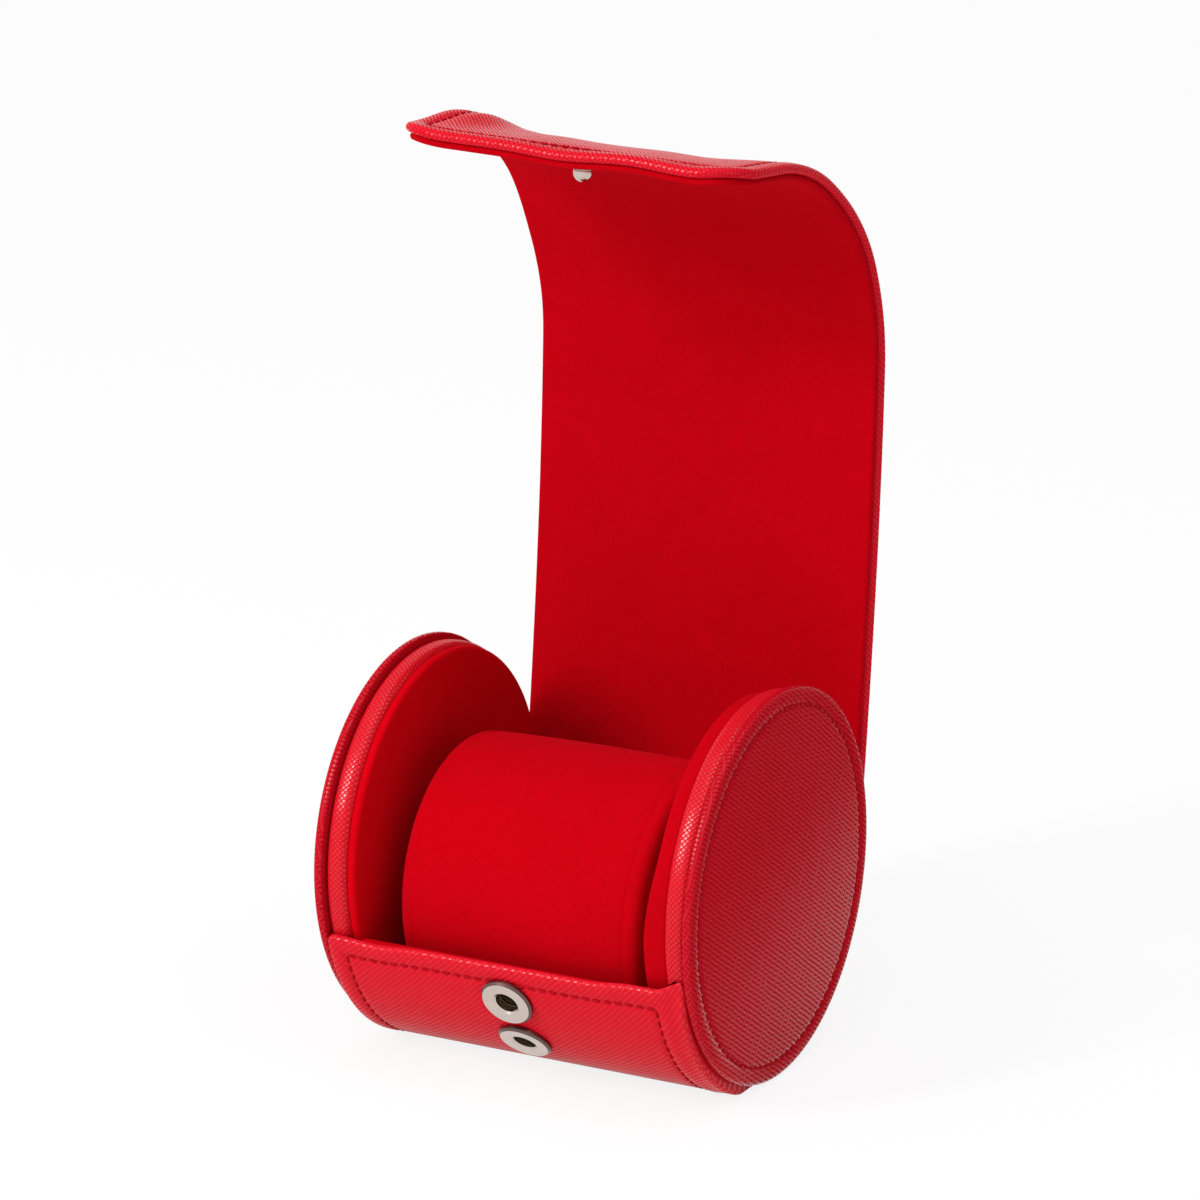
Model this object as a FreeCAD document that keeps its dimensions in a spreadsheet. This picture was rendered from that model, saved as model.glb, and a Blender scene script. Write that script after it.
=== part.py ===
import FreeCAD, Part
import math
import os
import Sketcher

# A watch roll: two padded end discs, a leather wrap round their lower half, a flap that folds over
# the top and snaps on the front wall, and a cushion that carries the watch. X runs along the roll,
# +Y to the back, +Z up, in millimetres. The origin is on the floor, under the roll's axis.

SIZES = {
    # end discs
    "roll_length": 82.8,
    "face_radius": 39.0,
    "face_thickness": 2.3,
    "face_round": 1.6,
    "rim_width": 4.5,
    "band_thickness": 1.2,
    "band_round": 0.7,
    "inner_thickness": 3.6,
    "inner_step": 1.35,
    "inner_round": 1.2,
    "back_round": 0.4,
    # sheet materials and fits
    "leather": 1.2,
    "suede": 1.1,
    "fit_gap": 0.1,
    "rim_clear": 0.15,
    "sole_clear": 0.2,
    # wrap
    "wall_drop": 11.6,
    "wall_sag": 2.2,
    "front_padding_drop": 4.0,
    "back_padding_thickness": 2.7,
    "wrap_board_thickness": 1.6,
    # snap sockets on the front wall
    "flange_radius": 5.4,
    "flange_height": 0.9,
    "flange_bevel": 0.45,
    "barrel_radius": 3.2,
    "barrel_depth": 3.3,
    "bore_radius": 2.3,
    "spring_wire": 0.25,
    "spring_groove": 0.45,
    "washer_radius": 4.6,
    "washer_thickness": 0.6,
    # flap
    "flap_side_gap": 0.8,
    "panel_length": 19.8,
    "curl_length": 28.75,
    "tab_length": 24.8,
    "tab_corner": 9.0,
    "flap_board": 1.0,
    "edge_turn": 1.0,
    "lining_inset": 0.9,
    "hinge_depth": 0.6,
    "hinge_gap": 0.6,
    # snap stud on the tab
    "stud_reach": 15.5,
    "stud_length": 3.2,
    "stud_ball": 1.9,
    "stud_neck": 1.7,
    "stud_tip": 0.6,
    "stud_foot": 3.2,
    "stud_foot_height": 0.5,
    "shank_radius": 1.2,
    "rivet_radius": 3.0,
    "rivet_thickness": 0.4,
    # cushion
    "cushion_radius": 28.0,
    "cushion_side_gap": 5.5,
    "cushion_crown": 0.5,
    "cap_depth": 2.2,
    "cap_round": 1.0,
    "seat_gap": 0.3,
    # spare length of every cutting tool
    "overrun": 5.0,
}

# Angles in degrees. Side view angles are counted from +Y towards +Z.
SOCKET_ANGLES = {"upper": 205.8, "lower": 224.0}
CUSHION_SEAT_ANGLE = 232.0
PANEL_BEND_ANGLES = (-7.0, 1.0, 1.0, 1.5, 1.5)
CURL_BEND_ANGLE = 12.3
CURL_TURN_ANGLES = (29.0, 39.0)
FLAP_TWIST_ANGLE = -3.0
TAB_BEND_ANGLE = 8.0

# How far a panel's end leans back for each millimetre of depth, so that neighbours close without meeting.
NOTCH_SHARE = 0.32

doc = FreeCAD.newDocument("watch_roll")
sheet = doc.addObject("Spreadsheet::Sheet", "sizes")
for row, (alias, value) in enumerate(SIZES.items(), start=1):
    sheet.set(f"A{row}", alias)
    sheet.set(f"B{row}", str(value))
    sheet.setAlias(f"B{row}", alias)
doc.recompute()


def size(alias):
    return float(sheet.get(alias))


# Sizes that several pieces share, as expressions on the sheet.
HALF = "(sizes.roll_length / 2)"
AXIS_HEIGHT = "(sizes.face_radius + sizes.sole_clear)"
FACE_BACK = f"({HALF} - sizes.face_thickness)"
RIM_BACK = f"({FACE_BACK} - sizes.rim_width)"
INNER_FACE = f"({RIM_BACK} - sizes.inner_thickness)"
RIM = "(sizes.face_radius + sizes.sole_clear - sizes.leather - sizes.rim_clear)"
CUSHION_END = f"({INNER_FACE} - sizes.cushion_side_gap)"
LINING_OUTER = f"({RIM} - sizes.wrap_board_thickness)"
LINING_INNER = f"({LINING_OUTER} - sizes.suede)"

# The same sizes as numbers, for the shapes that are worked out below.
axis_height = size("face_radius") + size("sole_clear")
rim = axis_height - size("leather") - size("rim_clear")
lining_inner = rim - size("wrap_board_thickness") - size("suede")
face_back = size("roll_length") / 2 - size("face_thickness")
front_radius = rim + size("leather")
back_radius = rim + size("rim_clear") + size("back_padding_thickness") + size("leather")
flap_thickness = size("leather") + size("flap_board") + size("suede")
half_gap = size("hinge_gap") / 2

X_AXIS = FreeCAD.Vector(1, 0, 0)
Y_AXIS = FreeCAD.Vector(0, 1, 0)
Z_AXIS = FreeCAD.Vector(0, 0, 1)
ROLL_AXIS = FreeCAD.Vector(0, 0, axis_height)
WALL_CENTRE = FreeCAD.Vector(0, 0, axis_height - size("wall_sag"))

pieces = []


def keep(piece, label):
    """Lists a finished sub-part under the name of its file."""
    piece.Label = label
    pieces.append(piece)
    return piece


def bind(thing, **expressions):
    for name, expression in expressions.items():
        thing.setExpression(name, expression)
    return thing


def number(expression):
    return float(sheet.evalExpression(expression.replace("sizes.", "")))


def direction(degrees):
    """The unit vector in the side view at an angle from +Y towards +Z."""
    angle = math.radians(degrees)
    return FreeCAD.Vector(0, math.cos(angle), math.sin(angle))


def draw_outline(sketch, points, arcs):
    """A closed outline whose corners are expressions; arcs gives the radius of a side by its number."""
    corners = [FreeCAD.Vector(number(x), number(y), 0) for x, y in points]
    count = len(corners)
    for side in range(count):
        start, end = corners[side], corners[(side + 1) % count]
        if side in arcs:
            sketch.addGeometry(outward_arc(start, end, number(arcs[side])))
        else:
            sketch.addGeometry(Part.LineSegment(start, end))
    for side in range(count):
        first, last = side_ends(sketch, side, corners[side])
        following = (side + 1) % count
        next_first = side_ends(sketch, following, corners[following])[0]
        sketch.addConstraint(Sketcher.Constraint("Coincident", side, last, following, next_first))
        for kind, expression in zip(("DistanceX", "DistanceY"), points[side]):
            value = number(expression)
            index = sketch.addConstraint(Sketcher.Constraint(kind, -1, 1, side, first, value))
            if expression != "0":
                sketch.setExpression(f"Constraints[{index}]", expression)
        if side in arcs:
            index = sketch.addConstraint(Sketcher.Constraint("Radius", side, number(arcs[side])))
            sketch.setExpression(f"Constraints[{index}]", arcs[side])


def outward_arc(start, end, radius):
    """An arc between two points that bulges away from the turning axis."""
    chord = end - start
    outward = FreeCAD.Vector(-chord.y, chord.x, 0).normalize()
    if outward.y < 0:
        outward = -outward
    rise = radius - math.sqrt(radius ** 2 - (chord.Length / 2) ** 2)
    return Part.Arc(start, (start + end) / 2 + outward * rise, end)


def side_ends(sketch, side, corner):
    """Which end of a side lies on its first corner, and which on the next."""
    from_start = sketch.getPoint(side, 1).distanceToPoint(corner)
    from_end = sketch.getPoint(side, 2).distanceToPoint(corner)
    return (1, 2) if from_start < from_end else (2, 1)


def turned(label, points, arcs=None):
    """A body turned about its own X axis from an outline of (along, radius)."""
    body = doc.addObject("PartDesign::Body", label)
    sketch = body.newObject("Sketcher::SketchObject", label + "_outline")
    plane = next(item for item in body.Origin.OriginFeatures if item.Role == "XY_Plane")
    sketch.AttachmentSupport = [(plane, "")]
    sketch.MapMode = "FlatFace"
    draw_outline(sketch, points, arcs or {})
    turn = body.newObject("PartDesign::Revolution", label + "_turn")
    turn.Profile = sketch
    turn.ReferenceAxis = (sketch, ["H_Axis"])
    doc.recompute()
    return body


def round_rims(body, rims):
    """Rounds circular edges of a turned body, each named by its (along, radius) and a radius expression."""
    for order, (along, radius, rounding) in enumerate(rims):
        place = FreeCAD.Vector(number(along), 0, 0)
        below = body.Tip
        edges = []
        for index, edge in enumerate(below.Shape.Edges, start=1):
            circle = edge.Curve
            if not isinstance(circle, Part.Circle):
                continue
            near = circle.Center.distanceToPoint(place) < Part.Precision.confusion()
            if near and abs(circle.Radius - number(radius)) < Part.Precision.confusion():
                edges.append(f"Edge{index}")
        fillet = body.newObject("PartDesign::Fillet", f"{body.Name}_round_{order}")
        fillet.Base = (below, edges)
        bind(fillet, Radius=rounding)
        doc.recompute()
    return body


def on_roll_axis(piece, side):
    """Sets a piece that was made for the right end on the roll's axis, or turned round for the left end."""
    turn = FreeCAD.Rotation(Z_AXIS, 0 if side == "right" else 180)
    piece.Placement = FreeCAD.Placement(FreeCAD.Vector(), turn)
    return bind(piece, **{"Placement.Base.z": AXIS_HEIGHT})


def disc_plate(label, side, outer, radius, thickness):
    """A plain round board with its outer side at a distance from the middle of the roll."""
    plate = doc.addObject("Part::Cylinder", label)
    bind(plate, Radius=radius, Height=thickness)
    towards = FreeCAD.Vector(-1, 0, 0) if side == "right" else X_AXIS
    plate.Placement = FreeCAD.Placement(FreeCAD.Vector(), FreeCAD.Rotation(Z_AXIS, towards))
    sign = "" if side == "right" else "-"
    bind(plate, **{"Placement.Base.x": f"{sign}({outer})", "Placement.Base.z": AXIS_HEIGHT})
    return keep(plate, label)


def end_disc(side):
    """One end: stitched face, banded rim and suede inner disc, each round its own board."""
    skin_back = f"{HALF} - sizes.leather"
    skin_radius = "sizes.face_radius - sizes.leather"
    face = turned(f"face_leather_{side}", [
        (skin_back, "0"),
        (HALF, "0"),
        (HALF, "sizes.face_radius"),
        (FACE_BACK, "sizes.face_radius"),
        (FACE_BACK, skin_radius),
        (skin_back, skin_radius),
    ])
    round_rims(face, [
        (HALF, "sizes.face_radius", "sizes.face_round"),
        (FACE_BACK, "sizes.face_radius", "sizes.back_round"),
    ])
    keep(on_roll_axis(face, side), f"face_leather_{side}")
    disc_plate(f"face_board_{side}", side, skin_back, f"{skin_radius} - sizes.fit_gap",
               "sizes.face_thickness - sizes.leather")

    band_inner = f"{RIM} - sizes.band_thickness"
    band = turned(f"rim_band_{side}", [
        (RIM_BACK, band_inner),
        (FACE_BACK, band_inner),
        (FACE_BACK, RIM),
        (RIM_BACK, RIM),
    ])
    round_rims(band, [(FACE_BACK, RIM, "sizes.band_round"), (RIM_BACK, RIM, "sizes.band_round")])
    keep(on_roll_axis(band, side), f"rim_band_{side}")
    disc_plate(f"rim_core_{side}", side, FACE_BACK, f"{band_inner} - sizes.fit_gap", "sizes.rim_width")

    suede_back = f"{INNER_FACE} + sizes.suede"
    inner_radius = f"({RIM} - sizes.inner_step)"
    suede_radius = f"{inner_radius} - sizes.suede"
    suede = turned(f"inner_suede_{side}", [
        (INNER_FACE, "0"),
        (suede_back, "0"),
        (suede_back, suede_radius),
        (RIM_BACK, suede_radius),
        (RIM_BACK, inner_radius),
        (INNER_FACE, inner_radius),
    ])
    round_rims(suede, [
        (INNER_FACE, inner_radius, "sizes.inner_round"),
        (RIM_BACK, inner_radius, "sizes.back_round"),
    ])
    keep(on_roll_axis(suede, side), f"inner_suede_{side}")
    disc_plate(f"inner_board_{side}", side, RIM_BACK, f"{suede_radius} - sizes.fit_gap",
               "sizes.inner_thickness - sizes.suede")


def wrap_front(inset):
    """The wrap's front arc at a depth under its skin: from the wall's top edge down to the sole."""
    radius = front_radius - inset
    top = size("wall_sag") - size("wall_drop")
    low = size("wall_sag") - (axis_height - inset)
    start = FreeCAD.Vector(0, -math.sqrt(radius ** 2 - top ** 2), top) + WALL_CENTRE
    end = FreeCAD.Vector(0, -math.sqrt(radius ** 2 - low ** 2), low) + WALL_CENTRE
    middle = (math.asin(top / radius) + math.asin(low / radius)) / 2
    return start, direction(180 - math.degrees(middle)) * radius + WALL_CENTRE, end


def wrap_back(inset):
    """The wrap's back arc at a depth under its skin: from the sole up to the root of the flap."""
    radius = back_radius - inset
    low = inset - axis_height
    start = FreeCAD.Vector(0, math.sqrt(radius ** 2 - low ** 2), low) + ROLL_AXIS
    end = FreeCAD.Vector(0, math.sqrt(radius ** 2 - half_gap ** 2), -half_gap) + ROLL_AXIS
    middle = (math.asin(low / radius) + math.asin(-half_gap / radius)) / 2
    return start, direction(math.degrees(middle)) * radius + ROLL_AXIS, end


def arc(points):
    return Part.Arc(*points).toShape()


def line(start, end):
    return Part.LineSegment(start, end).toShape()


def strip(edges, width):
    """A closed side view carried along the roll, centred on its middle."""
    face = Part.Face(Part.Wire(Part.__sortEdges__(edges)))
    solid = face.extrude(X_AXIS * width)
    solid.translate(X_AXIS * (-width / 2))
    return solid


def socket_axis(name):
    """The point of the wall's skin under a snap socket, and the direction out of the wall."""
    outward = direction(SOCKET_ANGLES[name])
    return WALL_CENTRE + outward * front_radius, outward


def bored(shape, radius, depth):
    """A shape of the front wall with room for the snap sockets, down to a depth under the skin."""
    for name in SOCKET_ANGLES:
        point, outward = socket_axis(name)
        tool = Part.makeCylinder(radius, depth + size("overrun"), point - outward * depth, outward)
        shape = shape.cut(tool)
    return shape


def feature(label, shape):
    piece = doc.addObject("Part::Feature", label)
    piece.Shape = shape
    return keep(piece, label)


def trough(outer, inner):
    """A round trough between the end discs, as high as the front wall and the flap's root."""
    length = 2 * number(INNER_FACE) - 2 * size("fit_gap")
    start = ROLL_AXIS - X_AXIS * (length / 2)
    ring = Part.makeCylinder(outer, length, start, X_AXIS)
    ring = ring.cut(Part.makeCylinder(inner, length, start, X_AXIS))
    reach = outer + size("overrun")
    tool_length = length + size("overrun")
    corner = FreeCAD.Vector(-tool_length / 2, -reach, axis_height - size("wall_drop"))
    front = Part.makeBox(tool_length, reach, 2 * reach, corner)
    corner = FreeCAD.Vector(-tool_length / 2, 0, axis_height - half_gap)
    back = Part.makeBox(tool_length, reach, 2 * reach, corner)
    return ring.cut(front).cut(back)


def wrap():
    """The fixed wrap: skin with a flat sole, padding on the rims, board and lining between the discs."""
    width = 2 * (face_back - size("fit_gap"))
    barrel_hole = size("barrel_radius") + size("fit_gap")
    deep = size("barrel_depth") + size("fit_gap")
    inset = size("leather")
    front, back = wrap_front(0), wrap_back(0)
    front_inner, back_inner = wrap_front(inset), wrap_back(inset)
    skin = strip([
        arc(front), line(front[2], back[0]), arc(back),
        line(back[2], back_inner[2]),
        arc(back_inner), line(back_inner[0], front_inner[2]), arc(front_inner),
        line(front_inner[0], front[0]),
    ], width)
    feature("wrap_skin", bored(skin, barrel_hole, deep))

    seat = rim + size("rim_clear")
    top = size("wall_drop") + size("front_padding_drop")
    low = axis_height - inset
    pad_radius = front_radius - inset
    pad_reach = math.sqrt(pad_radius ** 2 - (top - size("wall_sag")) ** 2)
    outer_top = FreeCAD.Vector(0, -pad_reach, axis_height - top)
    seat_top = FreeCAD.Vector(0, -math.sqrt(seat ** 2 - top ** 2), axis_height - top)
    seat_low = ROLL_AXIS - Z_AXIS * seat
    pad_low = front_inner[2]
    pad_middle = (outer_top + pad_low) / 2 - WALL_CENTRE
    pad_middle = pad_middle.normalize() * pad_radius + WALL_CENTRE
    seat_middle = (seat_top + seat_low) / 2 - ROLL_AXIS
    seat_middle = seat_middle.normalize() * seat + ROLL_AXIS
    edges = [arc((outer_top, pad_middle, pad_low)), arc((seat_top, seat_middle, seat_low))]
    edges.append(line(outer_top, seat_top))
    if pad_low.distanceToPoint(seat_low) > Part.Precision.confusion():
        edges.append(line(pad_low, seat_low))
    padding = bored(strip(edges, width), barrel_hole, deep)
    padding = bored(padding, size("washer_radius") + size("fit_gap"),
                    inset + size("washer_thickness") + socket_dip() + size("fit_gap"))
    feature("front_padding", padding)

    seat_end = FreeCAD.Vector(0, math.sqrt(seat ** 2 - half_gap ** 2), -half_gap) + ROLL_AXIS
    seat_middle = ((seat_end + seat_low) / 2 - ROLL_AXIS).normalize() * seat + ROLL_AXIS
    edges = [arc(back_inner), arc((seat_low, seat_middle, seat_end)), line(back_inner[2], seat_end)]
    if back_inner[0].distanceToPoint(seat_low) > Part.Precision.confusion():
        edges.append(line(back_inner[0], seat_low))
    feature("back_padding", strip(edges, width))

    feature("wrap_board", bored(trough(rim, number(LINING_OUTER)), barrel_hole, deep))
    feature("wrap_lining", trough(number(LINING_OUTER), lining_inner))


def along(point, outward):
    """A placement that carries a turned body's own X axis to a direction at a point."""
    return FreeCAD.Placement(point, FreeCAD.Rotation(X_AXIS, outward))


def socket(name):
    """A snap socket: bevelled flange and barrel, ring spring, and the washer that clamps it."""
    point, outward = socket_axis(name)
    bore = "sizes.bore_radius"
    groove = "(sizes.bore_radius + sizes.spring_groove)"
    groove_low = "(-sizes.leather - sizes.spring_groove)"
    groove_high = "(-sizes.leather + sizes.spring_groove)"
    body = turned(f"snap_socket_{name}", [
        ("-sizes.barrel_depth", bore),
        (groove_low, bore),
        (groove_low, groove),
        (groove_high, groove),
        (groove_high, bore),
        ("sizes.flange_height - sizes.flange_bevel", bore),
        ("sizes.flange_height", "sizes.bore_radius + sizes.flange_bevel"),
        ("sizes.flange_height", "sizes.flange_radius - sizes.flange_bevel"),
        ("sizes.flange_height - sizes.flange_bevel", "sizes.flange_radius"),
        ("0", "sizes.flange_radius"),
        ("0", "sizes.barrel_radius"),
        ("-sizes.barrel_depth", "sizes.barrel_radius"),
    ])
    seat = point + outward * size("fit_gap")
    body.Placement = along(seat, outward)
    keep(body, f"snap_socket_{name}")

    spring = doc.addObject("Part::Torus", f"socket_spring_{name}")
    bind(spring, Radius1=f"{groove} - sizes.spring_wire - sizes.fit_gap", Radius2="sizes.spring_wire")
    turn = FreeCAD.Rotation(Z_AXIS, outward)
    spring.Placement = FreeCAD.Placement(seat - outward * size("leather"), turn)
    keep(spring, f"socket_spring_{name}")

    hole = doc.addObject("Part::Cylinder", f"socket_washer_{name}_hole")
    bind(hole, Radius="sizes.barrel_radius + sizes.fit_gap",
         Height="sizes.washer_thickness + 2 * sizes.overrun")
    plate = doc.addObject("Part::Cylinder", f"socket_washer_{name}_plate")
    bind(plate, Radius="sizes.washer_radius", Height="sizes.washer_thickness")
    low = point - outward * (size("leather") + size("washer_thickness") + socket_dip())
    plate.Placement = FreeCAD.Placement(low, turn)
    hole.Placement = FreeCAD.Placement(low - outward * size("overrun"), turn)
    keep(cut(f"socket_washer_{name}", plate, hole), f"socket_washer_{name}")


def socket_dip():
    """How far the curved skin dips under the rim of a flat washer, seen from its middle."""
    inner = front_radius - size("leather")
    return inner - math.sqrt(inner ** 2 - size("washer_radius") ** 2)


def placed(turn_degrees, offset=FreeCAD.Vector()):
    return FreeCAD.Placement(offset, FreeCAD.Rotation(X_AXIS, turn_degrees))


def curl_radius(turn_degrees):
    return size("curl_length") / math.radians(turn_degrees)


def after_curl(turn_degrees):
    """The step from the start of a curved panel to its end."""
    radius = curl_radius(turn_degrees)
    angle = math.radians(turn_degrees)
    step = FreeCAD.Vector(0, radius * (math.cos(angle) - 1), radius * math.sin(angle))
    return placed(turn_degrees, step)


def flap_frames():
    """The hinge frame of each flap panel: X along the hinge, Y out of the leather, Z along the flap."""
    frames = []
    root = ROLL_AXIS + Y_AXIS * (back_radius - size("hinge_depth"))
    frame = FreeCAD.Placement(root, FreeCAD.Rotation())
    for bend in PANEL_BEND_ANGLES:
        frame = frame * placed(bend)
        frames.append(frame)
        frame = frame * placed(0, Z_AXIS * size("panel_length"))
    frame = frame * placed(CURL_BEND_ANGLE)
    frames.append(frame)
    middle = Y_AXIS * (size("hinge_depth") - flap_thickness / 2)
    twist = FreeCAD.Placement(FreeCAD.Vector(), FreeCAD.Rotation(Z_AXIS, FLAP_TWIST_ANGLE), middle)
    frame = frame * after_curl(CURL_TURN_ANGLES[0]) * twist
    frames.append(frame)
    frame = frame * after_curl(CURL_TURN_ANGLES[1]) * placed(TAB_BEND_ANGLE)
    frames.append(frame)
    return frames


# The flap's layers from the outside in, as heights above the hinge line.
SKIN_TOP = "sizes.hinge_depth"
BOARD_TOP = "(sizes.hinge_depth - sizes.leather)"
LINING_TOP = "(sizes.hinge_depth - sizes.leather - sizes.flap_board)"
LINING_LOW = "(sizes.hinge_depth - sizes.leather - sizes.flap_board - sizes.suede)"
SKIN_HALF = f"({FACE_BACK} - sizes.flap_side_gap)"
POCKET_HALF = f"({SKIN_HALF} - sizes.edge_turn)"
BOARD_HALF = f"({POCKET_HALF} - sizes.fit_gap)"
LINING_HALF = f"({SKIN_HALF} - sizes.lining_inset)"


def setback(height):
    """How far a panel's end stands back from the hinge at a height above the hinge line."""
    return f"(sizes.hinge_gap / 2 - ({height}) * {NOTCH_SHARE})"


def panel_prism(label, half_width, low, high, length, far_end=None):
    """A flat panel layer whose ends lean back inwards, to clear its neighbours as the flap closes."""
    prism = doc.addObject("Part::Wedge", label)
    far_low = far_end or f"{length} - {setback(low)}"
    far_high = far_end or f"{length} - {setback(high)}"
    return bind(
        prism,
        Xmin=f"-{half_width}", Xmax=half_width, X2min=f"-{half_width}", X2max=half_width,
        Ymin=low, Ymax=high,
        Zmin=setback(low), Zmax=far_low, Z2min=setback(high), Z2max=far_high,
    )


def cut(label, base, tool):
    """One object with another taken out of it, placed as one."""
    result = doc.addObject("Part::Cut", label)
    result.Base = base
    result.Tool = tool
    return result


def flat_panel(order, frame):
    """One flat stretch of the flap: leather with turned edges, the board in it and the suede lining."""
    name = f"flap_leather_{order}"
    length = "sizes.panel_length"
    outer = panel_prism(name + "_outer", SKIN_HALF, LINING_TOP, SKIN_TOP, length)
    pocket = doc.addObject("Part::Box", name + "_pocket")
    bind(pocket, Length=f"2 * {POCKET_HALF}", Width="sizes.flap_board + sizes.overrun",
         Height=f"{length} + 2 * sizes.overrun")
    bind(pocket, **{"Placement.Base.x": f"-{POCKET_HALF}", "Placement.Base.z": "-sizes.overrun",
                    "Placement.Base.y": f"{LINING_TOP} - sizes.overrun"})
    board = panel_prism(f"flap_board_{order}", BOARD_HALF, LINING_TOP, BOARD_TOP, length)
    lining = panel_prism(f"flap_lining_{order}", LINING_HALF, LINING_LOW, LINING_TOP, length)
    for piece, label in ((cut(name, outer, pocket), name), (board, board.Name), (lining, lining.Name)):
        piece.Placement = frame
        keep(piece, label)


def curl_sector(label, half_width, height, turn_degrees):
    """A pie piece of a curved panel, up to a height above the hinge line and short of both hinges."""
    radius = curl_radius(turn_degrees)
    trim = math.degrees(half_gap / radius)
    sector = doc.addObject("Part::Cylinder", label)
    bind(sector, Radius=f"{curl_rule(turn_degrees)} + {height}", Height=f"2 * {half_width}",
         Angle=f"{turn_degrees} - sizes.hinge_gap * 180 / ({curl_rule(turn_degrees)} * pi)")
    start = FreeCAD.Placement(Y_AXIS * -radius, FreeCAD.Rotation(X_AXIS, trim))
    lying = FreeCAD.Rotation(Y_AXIS, Z_AXIS, X_AXIS, "XYZ")
    sector.Placement = start * FreeCAD.Placement(X_AXIS * -number(half_width), lying)
    return sector


def curl_rule(turn_degrees):
    """The radius of a curved panel's hinge line, as an expression."""
    return f"(sizes.curl_length * 180 / ({turn_degrees} * pi))"


def curl_tool(label, half_width, height, turn_degrees):
    """A full round that clears a curved panel on its hollow side, up to a height above the hinge line."""
    tool = doc.addObject("Part::Cylinder", label)
    bind(tool, Radius=f"{curl_rule(turn_degrees)} + {height}", Height=f"2 * {half_width}")
    lying = FreeCAD.Rotation(Y_AXIS, Z_AXIS, X_AXIS, "XYZ")
    corner = FreeCAD.Vector(-number(half_width), -curl_radius(turn_degrees), 0)
    tool.Placement = FreeCAD.Placement(corner, lying)
    return tool


def curl_panel(order, frame, turn_degrees):
    """One curved stretch of the flap: leather with turned edges, the board in it and the suede lining."""
    wide = f"({SKIN_HALF} + sizes.overrun)"
    name = f"flap_leather_{order}"
    outer = curl_sector(name + "_outer", SKIN_HALF, SKIN_TOP, turn_degrees)
    pocket = curl_tool(name + "_pocket", POCKET_HALF, BOARD_TOP, turn_degrees)
    hollow = curl_tool(name + "_hollow", wide, LINING_TOP, turn_degrees)
    leather = cut(name, cut(name + "_shell", outer, hollow), pocket)
    name = f"flap_board_{order}"
    outer = curl_sector(name + "_outer", BOARD_HALF, BOARD_TOP, turn_degrees)
    board = cut(name, outer, curl_tool(name + "_hollow", wide, LINING_TOP, turn_degrees))
    name = f"flap_lining_{order}"
    outer = curl_sector(name + "_outer", LINING_HALF, LINING_TOP, turn_degrees)
    lining = cut(name, outer, curl_tool(name + "_hollow", wide, LINING_LOW, turn_degrees))
    for piece in (leather, board, lining):
        piece.Placement = frame
        keep(piece, piece.Name)


def tab_plate(label, half_width, low, high, front, corner, near_end=None):
    """A layer of the tab, with rounded corners at its front."""
    plain = panel_prism(label + "_plain", half_width, low, high, front, front)
    if near_end:
        bind(plain, Zmin=near_end, Z2min=near_end)
    doc.recompute()
    edges = []
    for index, edge in enumerate(plain.Shape.Edges, start=1):
        ends = [vertex.Z - number(front) for vertex in edge.Vertexes]
        rise = abs(edge.Vertexes[0].Y - edge.Vertexes[-1].Y)
        if max(map(abs, ends)) < Part.Precision.confusion() and rise > Part.Precision.confusion():
            edges.append((index, number(corner), number(corner)))
    plate = doc.addObject("Part::Fillet", label)
    plate.Base = plain
    plate.Edges = edges
    return plate


def stud_hole(label, radius, low, high):
    """A tool for a round hole across the tab, where the stud is."""
    hole = doc.addObject("Part::Cylinder", label)
    bind(hole, Radius=radius, Height=f"{high} - {low}")
    hole.Placement = FreeCAD.Placement(FreeCAD.Vector(), FreeCAD.Rotation(Z_AXIS, Y_AXIS))
    return bind(hole, **{"Placement.Base.y": low, "Placement.Base.z": "sizes.stud_reach"})


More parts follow.
